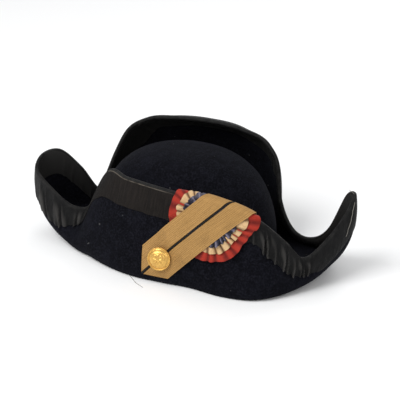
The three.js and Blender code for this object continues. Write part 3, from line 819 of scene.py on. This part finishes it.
def panel(x, h, off, base, radius):
    """Points of the panel; x is in the crown's own axes, off the height over the felt.

    Past the edge they run round a bend of the given radius at the height base, then down.
    """
    x, h, off = np.broadcast_arrays(np.asarray(x, float) + SHIFT[0], h, off)
    shape = x.shape
    x, h, off = x.ravel(), h.ravel(), off.ravel()
    radius = np.broadcast_to(radius, shape).ravel()
    columns = len(PANEL_ANGLES)
    steps = np.linspace(0, 1, len(PANEL_WALL))
    at = np.empty((columns, len(x), 3))
    n = np.empty((columns, len(x), 3))
    for j in range(columns):
        share = np.clip(h / PANEL_LENGTH[j], 0, 1)
        for c in range(3):
            at[j, :, c] = np.interp(share, steps, PANEL_WALL[:, j, c])
            n[j, :, c] = np.interp(share, steps, PANEL_FACING[:, j, c])
    right = np.argmax(at[1:, :, 0] >= x, axis=0)
    right = np.where((at[1:, :, 0] >= x).any(0), right, columns - 2)
    k = np.arange(len(x))
    x0, x1 = at[right, k, 0], at[right + 1, k, 0]
    t = ((x - x0) / (x1 - x0))[:, None]
    point = at[right, k] * (1 - t) + at[right + 1, k] * t
    normal = n[right, k] * (1 - t) + n[right + 1, k] * t
    normal /= np.linalg.norm(normal, axis=1)[:, None]
    past = PANEL_PAST[right] * (1 - t) + PANEL_PAST[right + 1] * t
    past /= np.linalg.norm(past, axis=1)[:, None]
    length = PANEL_LENGTH[right] * (1 - t[:, 0]) + PANEL_LENGTH[right + 1] * t[:, 0]
    over = np.maximum(h - length, 0)
    turn = np.minimum(over / radius, math.pi)
    rest = np.maximum(over - radius * math.pi, 0)
    reach = radius + off - base
    folded = point + normal * (FELT / 2 + base - radius + np.cos(turn) * reach)[:, None]
    folded = folded + past * (np.sin(turn) * reach - rest)[:, None]
    flat = point + normal * (FELT / 2 + off)[:, None]
    return np.where((over > 0)[:, None], folded, flat).reshape(*shape, 3)


print("panel from", PANEL_ANGLES[0], "to", PANEL_ANGLES[-1], "degrees")


# %% Heights on the panel
def edge_height(x):
    """The way up the felt to the brim's edge at a given x."""
    return np.interp(np.asarray(x) + SHIFT[0], PANEL_EDGE[:, 0], PANEL_LENGTH)


LACE_TOP = float(edge_height(LACE_TOP_X))
COCKADE_H = float(edge_height(COCKADE_X)) - COCKADE_DROP
# How high each piece lies over the felt, and the radius of its bend over the edge
COCKADE_BASE = GAP * 3.5 + RIBBON_THICK
COCKADE_BEND = FELT / 2 + RIBBON_THICK + GAP * 6.5
LACE_OVER = COCKADE_BASE + COCKADE_THICK + GAP * 1.5
LACE_UNDER = GAP * 2.5
LACE_BEND = COCKADE_BEND + COCKADE_THICK + GAP * 3
LACE_CREST = math.pi * LACE_BEND / 2
print("way up the felt at the loop", round(LACE_TOP, 1), "and at the cockade's middle",
      round(COCKADE_H, 1), "mm")

# %% [markdown]
# ## The cockade
#
# Three silk ribbons, red, cream and blue, are each drawn up along one edge into a pleated ring,
# and the rings are laid on each other with the widest below. Each pleat could be folded by hand,
# but one wave gives the pleats of all three, so they nest as pressed pleats do. It dies away under
# the loop that presses them flat.

# %% Waves of the pleats
PLEATS, PLEAT_POINTS, RING_ROWS = 25, 26, 20
SILK = 0.35
# Over what width the pleats rise beside the loop, and how they are pressed where they fold over
BESIDE_LOOP, PRESSED, PRESSED_OVER = 4.5, 0.3, 10


def beside_lace(x, h):
    """How far a point of the panel is from the middle of the loop."""
    face = np.minimum(h, edge_height(x) + LACE_CREST)
    right, up = x - LACE_TOP_X, face - LACE_TOP
    return np.abs(right * math.sin(LACE_SLOPE) - up * math.cos(LACE_SLOPE))


def drawn_out(turn):
    """How much farther the rim is at a turn: the right side is drawn out toward the horn."""
    along = np.maximum(np.cos(turn - COCKADE_PULL_WAY), 0)
    # Just below the drawn side the rim falls back, and at its end a pleat stands proud
    low = 0.05 * np.exp(-(((turn - 2 * math.pi + 0.5) / 0.4) ** 2))
    proud = 0.07 * np.exp(-(((turn - 0.24) / 0.16) ** 2))
    return 1 + COCKADE_PULL / COCKADE_RADIUS * along**18 - low + proud


def knife_pleat(share):
    """The height across one pleat: a steep front, a broad flat top and a slow slope down."""
    share = np.mod(share, 1.0)
    return ease(share / 0.36) * (1.15 - 0.55 * share) * ease((1 - share) / 0.22)


print(PLEATS, "pleats, each", round(math.tau * COCKADE_RADIUS / PLEATS, 1), "mm at the rim")


# %% One ring
def pleated_ring(name, inner, outer, base, tall, soft, scallop, flare, seed):
    """One ring of the cockade, laid on the panel."""
    around = PLEATS * PLEAT_POINTS
    turn = np.arange(around) / around * 2 * math.pi
    drift = 0.16 * np.sin(turn * 5 + seed) + 0.11 * np.sin(turn * 9 + 2 * seed)
    step = np.linspace(0, 1, RING_ROWS)[:, None]
    # The pleats lean a little as they run outward
    phase = turn * PLEATS / (2 * math.pi) + drift + 0.18 * step * np.sin(turn * 3 + seed)
    wave = knife_pleat(phase) * (1 - soft) + (0.5 - 0.5 * np.cos(2 * math.pi * phase)) * soft
    uneven_pleat = 1 + 0.28 * np.sin(turn * 7 + seed * 3) + 0.18 * np.sin(turn * 13 + seed)
    rim = outer + 0.6 * np.sin(turn * 6 + seed) + 0.3 * np.sin(turn * 17 + seed)
    rim = rim - scallop * (1 - wave)
    edge = (inner + (rim - inner) * step) * drawn_out(turn)
    x = COCKADE_X + edge * np.cos(turn)
    h = COCKADE_H + edge * np.sin(turn)
    free = ease((beside_lace(x, h) - LACE_WIDTH / 2 - 2 * GAP) / BESIDE_LOOP)
    swell = ease((edge - 7) / 16)
    # The pleats are pressed flat where the rings fold over the edge
    pressed = PRESSED + (1 - PRESSED) * ease((edge_height(x) - h) / PRESSED_OVER)
    rise = base + wave * tall * free * uneven_pleat * swell * pressed
    rise = rise + flare * free * pressed * ease((step - 0.5) / 0.5)
    bend = COCKADE_BEND + free * 0.6
    low = panel(x, h, COCKADE_BASE + rise, COCKADE_BASE, bend)
    high = panel(x, h, COCKADE_BASE + rise + SILK, COCKADE_BASE, bend)
    flat_map = np.stack([np.broadcast_to(wave, x.shape), np.broadcast_to(step, x.shape)], 2)
    return thin_piece(name, high[:, ::-1], low[:, ::-1], True, flat_map=flat_map[:, ::-1])


print("a ring has", PLEATS * PLEAT_POINTS, "columns and", RING_ROWS, "rows")

# %% Table of the rings
# Name, replaced node, slot, inner and outer radius, height in the stack, pleat height, how soft
# the pleats are, scallop of the rim, flare, seed. The silk reaches a little past its solid.
RINGS = (
    ("cockade_red_silk", "cockade_red_ring", "silk_red",
     30.0, COCKADE_RADIUS + 0.2, 0.0, 1.5, 0.75, 0.5, 0.8, 0.4),
    ("cockade_cream_silk", "cockade_cream_ring", "silk_cream",
     21.0, COCKADE_CREAM + 0.9, 0.75, 1.9, 0.3, 0.5, 0.4, 1.9),
    ("cockade_blue_silk", "cockade_blue_ring", "silk_blue",
     COCKADE_HOLE - 4, COCKADE_BLUE + 4.0, 1.6, 2.1, 0.0, 1.2, 0.4, 3.3),
)
print("rings", [row[0] for row in RINGS])

# %% [markdown]
# ## The silk of the rings
#
# The silk is old: the red has gone brick and the blue is nearly black. Shade is painted into the
# valleys of the pleats of all three rings, and a painted highlight runs as a pale line along the
# blue's crests. One plain colour would hide the pleats, and painted stripes would miss them. So the
# flat map carries the height of the pleat at each point, and the finish runs from the painted shade
# of a valley to the colour of a crest.


# %% Silk finish
def silk_finish(name, valley, crest, worn, rough, line=None):
    """Colours: valley (a painted shade), crest, worn; line, a painted highlight on the crests."""
    made = Finish(name)
    pleat, step = made.cloth()
    place = made.place()
    threads = made.wave(step, 0.035)
    cloud = made.noise(place, 140.0, 3.0, 0.6)
    # Painted shade: the valleys of the pleats are darker than the crests
    colour = made.colours(made.between(pleat, 0.02, 0.80), valley, crest)
    colour = made.colours(made.between(cloud, 0.48, 0.75) * 0.5, colour, worn)
    if line is not None:
        # Painted highlight: a pale line along the crests of the pleats
        pale = made.between(pleat, 0.78, 0.92) * made.between(cloud, 0.36, 0.52)
        colour = made.colours(pale * 0.85, colour, line)
        # Near the brim's edge the silk has faded to lilac
        height = made.node("ShaderNodeSeparateXYZ", None, {0: place}, out=2)
        colour = made.colours(made.between(height, 0.1005, 0.104) * 0.3, colour, line)
    made.set(Base_Color=colour, Roughness=rough, Sheen_Weight=0.04, Specular_IOR_Level=0.18)
    made.set(Normal=made.relief(threads + cloud, 0.0001, 0.5))
    return made.material


# Each silk: painted valley shade, crest, worn colour, roughness and the blue's painted highlight
SILKS = {
    "silk_red": silk_finish("faded_red_silk", (0.13, 0.007, 0.004), (0.32, 0.021, 0.010),
                            (0.37, 0.034, 0.018), 0.6),
    "silk_cream": silk_finish("cream_silk", (0.10, 0.043, 0.015), (0.58, 0.385, 0.20),
                              (0.36, 0.20, 0.085), 0.5),
    "silk_blue": silk_finish("dark_blue_silk", (0.0028, 0.0026, 0.006), (0.011, 0.010, 0.024),
                             (0.022, 0.021, 0.042), 0.5, (0.19, 0.17, 0.22)),
}
print("silks", list(SILKS))

# %% The three rings
for name, node, slot, inner, outer, base, tall, soft, scallop, flare, seed in RINGS:
    ring = pleated_ring(name, inner, outer, base, tall, soft, scallop, flare, seed)
    ring.data.materials.append(SILKS[slot])
    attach(ring, "root")
    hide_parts(node)
    declare_cloth(ring, outer - inner)

# %% [markdown]
# ## The gold loop
#
# Flat gold lace runs down from behind the edge to a mitred point and back beside itself, with a
# black cord between the two runs. It is woven with fine ribs along its length and a firmer edge.
# Bending one long strip round the point would crease it wrongly, so the runs are two strips drawn
# on the panel and cut off at the point by the two sides of the mitre.


# %% Strips of the loop
def lace_spot(down, beside):
    """x and h of a point of the loop: down the way from the edge, beside the way off its middle."""
    return (LACE_TOP_X - down * math.cos(LACE_SLOPE) - beside * math.sin(LACE_SLOPE),
            LACE_TOP - down * math.sin(LACE_SLOPE) + beside * math.cos(LACE_SLOPE))


def lace_at(beside, below):
    """The way down a line beside the middle at which it is a given way below the brim's edge."""
    down = np.zeros(np.broadcast(beside, below).shape)
    for _ in range(12):
        x, h = lace_spot(down, beside)
        down = down + (h - (edge_height(x) - below)) / math.sin(LACE_SLOPE)
    return down


def lace_off(x, h):
    """The height of the loop over the felt: down off the cockade and onto the flap."""
    away = np.hypot(x - COCKADE_X, h - COCKADE_H) - COCKADE_RADIUS
    return LACE_OVER + (LACE_UNDER - LACE_OVER) * ease((away - 7) / 14)


HANGING_ROWS, HEM_ROWS, FACE_ROWS = 4, 26, 150


def lace_strip(name, left, right, columns, relief):
    """A strip of the loop between two lines; relief gives its upper side from the share across."""
    beside = np.linspace(left, right, columns)[None, :]
    below = -np.concatenate([
        np.linspace(LACE_HEM + math.pi * LACE_BEND, math.pi * LACE_BEND, HANGING_ROWS + 1)[:-1],
        np.linspace(math.pi * LACE_BEND, 0, HEM_ROWS - HANGING_ROWS),
    ])[:, None]
    # Past the top of its fold the lace hangs straight down behind the edge
    folded = lace_at(beside, np.maximum(below, -LACE_CREST))
    behind_x = lace_spot(folded, beside)[0]
    first = lace_at(beside, 0.0)
    steps = np.linspace(0, 1, FACE_ROWS + 1)[1:, None]
    face = first + (LACE_LENGTH - np.abs(beside) - first) * steps
    x, h = lace_spot(face, beside)
    x = np.concatenate([behind_x, x])
    h = np.concatenate([edge_height(behind_x) - below, h])
    down = np.concatenate([first + below, face])
    beside = np.broadcast_to(beside, down.shape)
    off = lace_off(x, h)
    share = (beside - left) / (right - left)
    low = panel(x, h, off, LACE_OVER, LACE_BEND)
    high = panel(x, h, off + relief(share, down, beside), LACE_OVER, LACE_BEND)
    flat_map = np.stack([down, beside], 2)
    return thin_piece(name, low, high, False, flat_map=flat_map)


def lace_relief(share, down, beside):
    """Firm edges, a soft cushion between them and a crease along each side of the mitre."""
    edge = np.exp(-((share / 0.05) ** 2)) + np.exp(-(((1 - share) / 0.05) ** 2))
    mitre = np.exp(-(((LACE_LENGTH - np.abs(beside) - down) / 1.2) ** 2))
    ripple = 0.07 * np.sin(down / 9.0 + share * 2) + 0.05 * np.sin(down / 3.7 - share * 5)
    return LACE_THICK * (0.88 + 0.12 * edge + 0.10 * mitre) + ripple * (1 - edge) - 0.05


def cord_relief(share, *_):
    """A round back, cut off low at its two sides."""
    round_back = np.sqrt(np.maximum(1 - (2 * share - 1) ** 2, 0.08))
    return (LACE_THICK + CORD_RAISE) * round_back * 0.9


print("the loop folds over a round of", round(LACE_BEND, 2), "mm")


# %% [markdown]
# ## Gold lace and black cord
#
# The lace is gilt thread over silk, gone dull and brownish. A polished gold would look like sheet
# metal, so only a little of it is metallic, and its colour runs in streaks down its warp between
# fine ribs. The cord is two black threads twisted, drawn as slanting turns on its round back.


# %% Finishes of the loop
def lace_finish():
    made = Finish("tarnished_gold_lace")
    down, beside = made.cloth()
    place = made.place()
    ribs = made.wave(beside, 1.7)
    picks = made.wave(down, 0.55)
    warp = made.node("ShaderNodeCombineXYZ", None, {0: down * 0.02, 1: beside * 0.9, 2: 0.0})
    streak = made.between(made.noise(warp, 1.6, 3.0, 0.6), 0.3, 0.72)
    cloud = made.noise(place, 60.0, 3.0, 0.6)
    colour = made.colours(streak, (0.26, 0.135, 0.035), (0.46, 0.255, 0.080))
    colour = made.colours(made.between(cloud, 0.5, 0.8) * 0.5, colour, (0.19, 0.10, 0.030))
    colour = made.colours(ribs * 0.3, colour, (0.50, 0.30, 0.105))
    made.set(Base_Color=colour, Roughness=0.46 + 0.2 * cloud, Metallic=0.2,
             Specular_IOR_Level=0.3)
    made.set(Normal=made.relief(ribs * 0.9 + picks * 0.3, 0.0003, 0.8))
    return made.material


def cord_finish():
    made = Finish("black_cord")
    down, beside = made.cloth()
    twist = made.wave(down + beside * 1.2, 1.4)
    fuzz = made.noise(made.place(), 900.0, 2.0)
    colour = made.colours(twist, (0.003, 0.003, 0.003), (0.012, 0.011, 0.011))
    made.set(Base_Color=colour, Roughness=0.8 - 0.15 * fuzz, Specular_IOR_Level=0.25)
    made.set(Normal=made.relief(twist, 0.0003, 0.8))
    return made.material


GOLD = lace_finish()
BLACK = cord_finish()
print("gold with", len(GOLD.node_tree.nodes), "nodes, cord with", len(BLACK.node_tree.nodes))

# %% The two runs and the cord
SLOT = CORD_WIDTH / 2 + GAP
HALF = LACE_WIDTH / 2
# Name, replaced node, slot, left and right side in mm from the middle, columns, relief, finish
STRIPS = (
    ("lace_upper_gold", "lace_upper_run", "gold_lace", SLOT, HALF, 30, lace_relief, GOLD),
    ("lace_lower_gold", "lace_lower_run", "gold_lace", -HALF, -SLOT, 30, lace_relief, GOLD),
    ("lace_cord_twist", "lace_cord", "black_cord", -CORD_WIDTH / 2, CORD_WIDTH / 2, 9,
     cord_relief, BLACK),
)
for name, node, slot, left, right, columns, relief, finish in STRIPS:
    strip = lace_strip(name, left, right, columns, relief)
    strip.data.materials.append(finish)
    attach(strip, "root")
    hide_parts(node)
    if slot == "gold_lace":
        declare_cloth(strip, right - left)

# %% [markdown]
# ## The button
#
# A gilt button is a stamped cap on a flat back: a raised rim, a sunk ring and a low dome. Its
# relief here is a plain rosette inside a ring of beads, of no badge or regiment. A bump could fake
# the stamping, but the button is small and bright and its rim shows, so the cap is turned from a
# profile, and the relief is added to the height of each point of the front.


# %% Seat of the button
BUTTON_RADIUS = BUTTON_DIAMETER / 2
BUTTON_SPOT = lace_spot(LACE_LENGTH - BUTTON_BACK, 0.0)
# How far the panel is felt out across and up, to find which way it faces, mm
FEELER = 2


def button_seat():
    """Where the button sits: its middle on the felt, its axis and how far out its back is."""
    x, h = BUTTON_SPOT
    at = panel(x, h, 0.0, 0.0, 1.0)
    right = panel(x + FEELER, h, 0.0, 0.0, 1.0) - at
    up = panel(x, h + FEELER, 0.0, 0.0, 1.0) - at
    right /= np.linalg.norm(right)
    axis = np.cross(right, up)
    axis /= np.linalg.norm(axis)
    tilt = math.radians(BUTTON_TILT)
    axis = axis * math.cos(tilt) + right * math.sin(tilt)
    # The back clears the lace and the cord at every point under it
    turn = np.arange(24) * math.pi / 12
    rim_x, rim_h = x + BUTTON_RADIUS * np.cos(turn), h + BUTTON_RADIUS * np.sin(turn)
    rim = panel(rim_x, rim_h, lace_off(rim_x, rim_h) + LACE_THICK + CORD_RAISE, 0.0, 1.0)
    middle = panel(x, h, lace_off(x, h) + LACE_THICK + CORD_RAISE, 0.0, 1.0)
    rise = max(((rim - at) @ axis).max(), float((middle - at) @ axis)) + GAP
    return at, axis, rise


BUTTON_AT, BUTTON_AXIS, BUTTON_RISE = button_seat()
print("button", round(float(BUTTON_RISE), 1), "mm over the felt")

# %% Turned cap with its relief
BUTTON_ROWS, BUTTON_COLUMNS = 110, 160
# The profile from the back's middle, round the rim and up the dome: radius and height, mm
BUTTON_PROFILE = np.array([
    (0, 0), (6, 0), (BUTTON_RADIUS - 1.0, 0), (BUTTON_RADIUS - 0.3, 0.2), (BUTTON_RADIUS, 0.7),
    (BUTTON_RADIUS, 1.5), (BUTTON_RADIUS - 0.25, 1.95), (BUTTON_RADIUS - 0.75, 2.1),
    (BUTTON_RADIUS - 1.2, 1.95), (BUTTON_RADIUS - 1.5, 1.7), (BUTTON_RADIUS - 2.0, 1.95),
    (BUTTON_RADIUS * 0.76, 3.1), (BUTTON_RADIUS * 0.66, 4.1), (BUTTON_RADIUS * 0.56, 4.8),
    (BUTTON_RADIUS * 0.44, 5.25), (BUTTON_RADIUS * 0.32, 5.55), (BUTTON_RADIUS * 0.2, 5.7),
    (BUTTON_RADIUS * 0.1, 5.75),
])
# The profile's point from which the relief starts, the highest relief and the middle's height, mm
FRONT_FROM, RELIEF_TOP, HEART_TOP = 9.5, 6.3, 6.1
PETALS, BEADS = 8, 40


def stamped(share, turn):
    """The relief of the front at a share of the radius: a rosette, its heart, a ring and beads."""
    petals = np.cos(turn * PETALS) * 0.5 + 0.5
    rosette = 0.42 * petals**0.7 * bump_between(share, 0.16, 0.42, 0.06)
    heart = 0.35 * np.exp(-((share / 0.11) ** 2))
    ring = 0.22 * np.exp(-(((share - 0.56) / 0.035) ** 2))
    beads = 0.30 * np.exp(-(((share - 0.70) / 0.045) ** 2)) * (0.5 + 0.5 * np.cos(turn * BEADS))
    return rosette + heart + ring + beads


def button():
    spread = np.linspace(0, len(BUTTON_PROFILE) - 1, BUTTON_ROWS)
    radius, height = [np.interp(spread, np.arange(len(BUTTON_PROFILE)), BUTTON_PROFILE[:, c])[:, None]
                      for c in (0, 1)]
    turn = (np.arange(BUTTON_COLUMNS) / BUTTON_COLUMNS * 2 * math.pi)[None, :]
    front = (spread > FRONT_FROM)[:, None]
    height = height + front * stamped(radius / BUTTON_RADIUS, turn)
    height = np.minimum(height, RELIEF_TOP) + BUTTON_RISE
    way = np.array(Vector(BUTTON_AXIS).to_track_quat("Z", "Y").to_matrix())
    local = np.stack([radius * np.cos(turn), radius * np.sin(turn), height], 2)
    # The first row is a single point, so the rest are kept and the two middles are added
    points = list((local @ way.T + BUTTON_AT).reshape(-1, 3)[BUTTON_COLUMNS:])
    rows = BUTTON_ROWS - 1
    faces = net_faces(rows, BUTTON_COLUMNS, True)
    back, top = len(points), len(points) + 1
    points += [BUTTON_AT + BUTTON_AXIS * BUTTON_RISE,
               BUTTON_AT + BUTTON_AXIS * (BUTTON_RISE + HEART_TOP)]
    last = (rows - 1) * BUTTON_COLUMNS
    for j in range(BUTTON_COLUMNS):
        k = (j + 1) % BUTTON_COLUMNS
        faces.append((back, k, j))
        faces.append((top, last + j, last + k))
    return new_piece("gilt_button", points, faces, sharp=60)


print("cap of", BUTTON_ROWS, "rows and", BUTTON_COLUMNS, "columns")

# %% [markdown]
# ## The gilding
#
# The gilding has rubbed thin in patches, where it is browner and duller. Scratches could be drawn
# one by one, but at this size one cloudy pattern in colour, shine and roughness says the same.


# %% Gilt finish
def gilt_finish():
    made = Finish("gilt_brass")
    place = made.place()
    worn = made.between(made.noise(place, 330.0, 3.0, 0.6), 0.45, 0.75)
    grain = made.noise(place, 1800.0, 2.0)
    colour = made.colours(worn, (0.78, 0.47, 0.125), (0.55, 0.31, 0.08))
    made.set(Base_Color=colour, Metallic=0.9 - 0.15 * worn, Roughness=0.3 + 0.2 * worn)
    made.set(Normal=made.relief(grain, 0.00005, 0.4))
    return made.material


GILT = gilt_finish()
print("gilding with", len(GILT.node_tree.nodes), "nodes")

# %% The button in place
button_piece = button()
button_piece.data.materials.append(GILT)
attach(button_piece, "root")
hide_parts("button")
print("button faces", len(button_piece.data.polygons))

# %% [markdown]
# ## Loose threads
#
# A few threads have come out of the old seams: a short one at the tip of the right horn, a pale
# stitch down the horn's outer side, and one under the low flap that lies on the table. A bevelled
# curve would be quicker, but a thin tube of faces can be joined to the mesh of the ribbon or the
# felt that it comes out of, so it stays with it.


# %% Threads
THREAD_RINGS, THREAD_SIDES = 24, 6


def add_thread(piece, path, radius, material):
    """Adds a thin closed tube along the points (mm) to a piece's own mesh."""
    path = np.array([np.asarray(p, float) for p in path])
    fine = np.linspace(0, len(path) - 1, THREAD_RINGS)
    line = np.stack([np.interp(fine, np.arange(len(path)), path[:, c]) for c in range(3)], 1)
    along = np.gradient(line, axis=0)
    along /= np.linalg.norm(along, axis=1)[:, None]
    first = np.cross(along, [0.3, 0.5, 0.81])
    first /= np.linalg.norm(first, axis=1)[:, None]
    second = np.cross(along, first)
    mesh = bmesh.new()
    mesh.from_mesh(piece.data)
    rings = []
    for p, a, b in zip(line, first, second):
        ring = []
        for k in range(THREAD_SIDES):
            turn = k * math.tau / THREAD_SIDES
            spot = p + (a * math.cos(turn) + b * math.sin(turn)) * radius
            ring.append(mesh.verts.new(spot * MM))
        rings.append(ring)
    faces = [mesh.faces.new(rings[0][::-1]), mesh.faces.new(rings[-1])]
    for low, high in zip(rings, rings[1:]):
        for k in range(THREAD_SIDES):
            n = (k + 1) % THREAD_SIDES
            faces.append(mesh.faces.new((low[k], low[n], high[n], high[k])))
    for face in faces:
        face.material_index = 1
        face.smooth = True
    if len(piece.data.materials) < 2:
        piece.data.materials.append(material)
    mesh.to_mesh(piece.data)
    mesh.free()


def on_outside(angle, below, off):
    """A point over the felt's outer side, a given way below the edge."""
    column = int(angle) % AROUND
    row = EDGE_ROW - below / CLIMB_LENGTH[column] * WALL_ROWS
    k = min(int(row), EDGE_ROW - 1)
    t = row - k
    point = MIDDLE[k, column] * (1 - t) + MIDDLE[k + 1, column] * t
    return point + FACING[k, column] * off


def thread_finish():
    made = Finish("pale_thread")
    made.set(Base_Color=made.colours(made.noise(made.place(), 900.0), (0.16, 0.15, 0.13),
                                     (0.30, 0.28, 0.25)), Roughness=0.8)
    return made.material


print("a thread has", THREAD_RINGS, "rings of", THREAD_SIDES, "sides")

# %% The three threads
THREAD = thread_finish()
# The end that curls off the tip of the right horn, from the tip, mm
TIP_CURL = ([0, 0, 0], [-3, -1.5, 4.5], [-7.5, -1.0, 6.5])
# The stitch down the horn: where it starts and its step, in degrees and in mm below the edge
STITCH_ANGLE, STITCH_TURN, STITCH_BELOW, STITCH_STEP, STITCH_POINTS = 356, 0.6, 1.5, 2.4, 10
# The end that lies on the table, out from under the low flap, mm
TABLE_END = ((-49, -80, 1.0), (-46.4, -84.3, 0.6), (-35.3, -95.1, 0.5), (-22.5, -107.3, 0.4),
             (-11.8, -113.5, 0.4))
on_ribbon = FELT / 2 + RIBBON_SILK + 0.25
stitch = []
for k in range(STITCH_POINTS):
    below = STITCH_BELOW + STITCH_STEP * k
    stitch.append(on_outside(STITCH_ANGLE - STITCH_TURN * k, below, on_ribbon))
tip = on_outside(359, 1.0, 1.0)
add_thread(ribbon_piece, [tip + step for step in TIP_CURL], 0.22, THREAD)
add_thread(ribbon_piece, stitch, 0.28, THREAD)
add_thread(felt_piece, TABLE_END, 0.25, THREAD)
print("three threads, the one on the table",
      round(sum(math.dist(a, b) for a, b in zip(TABLE_END, TABLE_END[1:]))), "mm long")

# %% [markdown]
# ## Table and light
#
# The hat lies on a white table in a bright room. A sky alone would leave the dark felt flat. So a
# plain pale floor takes the soft shadow, a large lamp above and a little to the left models the
# crown, two weak ones light the right horn and the tall flap, and a pale sky fills the rest.


# %% Floor
# Half of its side, in mm
FLOOR_REACH = 6000.0


def floor():
    corners = [(x * FLOOR_REACH, y * FLOOR_REACH, 0) for x, y in ((-1, -1), (1, -1), (1, 1), (-1, 1))]
    piece = new_piece("floor", corners, [(0, 1, 2, 3)])
    made = Finish("white_table")
    shade = made.noise(made.place(), 4.0, 1.0)
    made.set(Base_Color=made.colours(shade, (0.93, 0.94, 0.95), (0.95, 0.95, 0.95)), Roughness=0.8)
    piece.data.materials.append(made.material)


floor()
print("floor", 2 * FLOOR_REACH * MM, "m wide")


# %% Lamps and sky
# Name, place and aim in metres, width in metres, power in watts
LAMPS = (
    ("lamp_above", (-0.8, -1.2, 1.7), (0, 0, 0), 1.5, 34.0),
    ("lamp_right", (1.6, -0.6, 1.2), (0, 0, 0.05), 1.2, 5.0),
    ("lamp_behind", (0.2, 1.7, 1.4), (0, 0, 0.05), 1.4, 9.0),
)
SKY_STRENGTH = 0.6


def lamp(name, place, aim, size, power):
    data = bpy.data.lights.new(name, "AREA")
    data.shape = "DISK"
    data.size = size
    data.energy = power
    made = bpy.data.objects.new(name, data)
    made.location = place
    made.rotation_euler = (Vector(place) - Vector(aim)).to_track_quat("Z", "Y").to_euler()
    scene.collection.objects.link(made)


for row in LAMPS:
    lamp(*row)
world = bpy.data.worlds.new("room")
world.use_nodes = True
sky = world.node_tree.nodes["Background"]
sky.inputs["Color"].default_value = (1, 1, 1, 1)
sky.inputs["Strength"].default_value = SKY_STRENGTH
scene.world = world
print(len(LAMPS), "lamps and a sky of", SKY_STRENGTH)
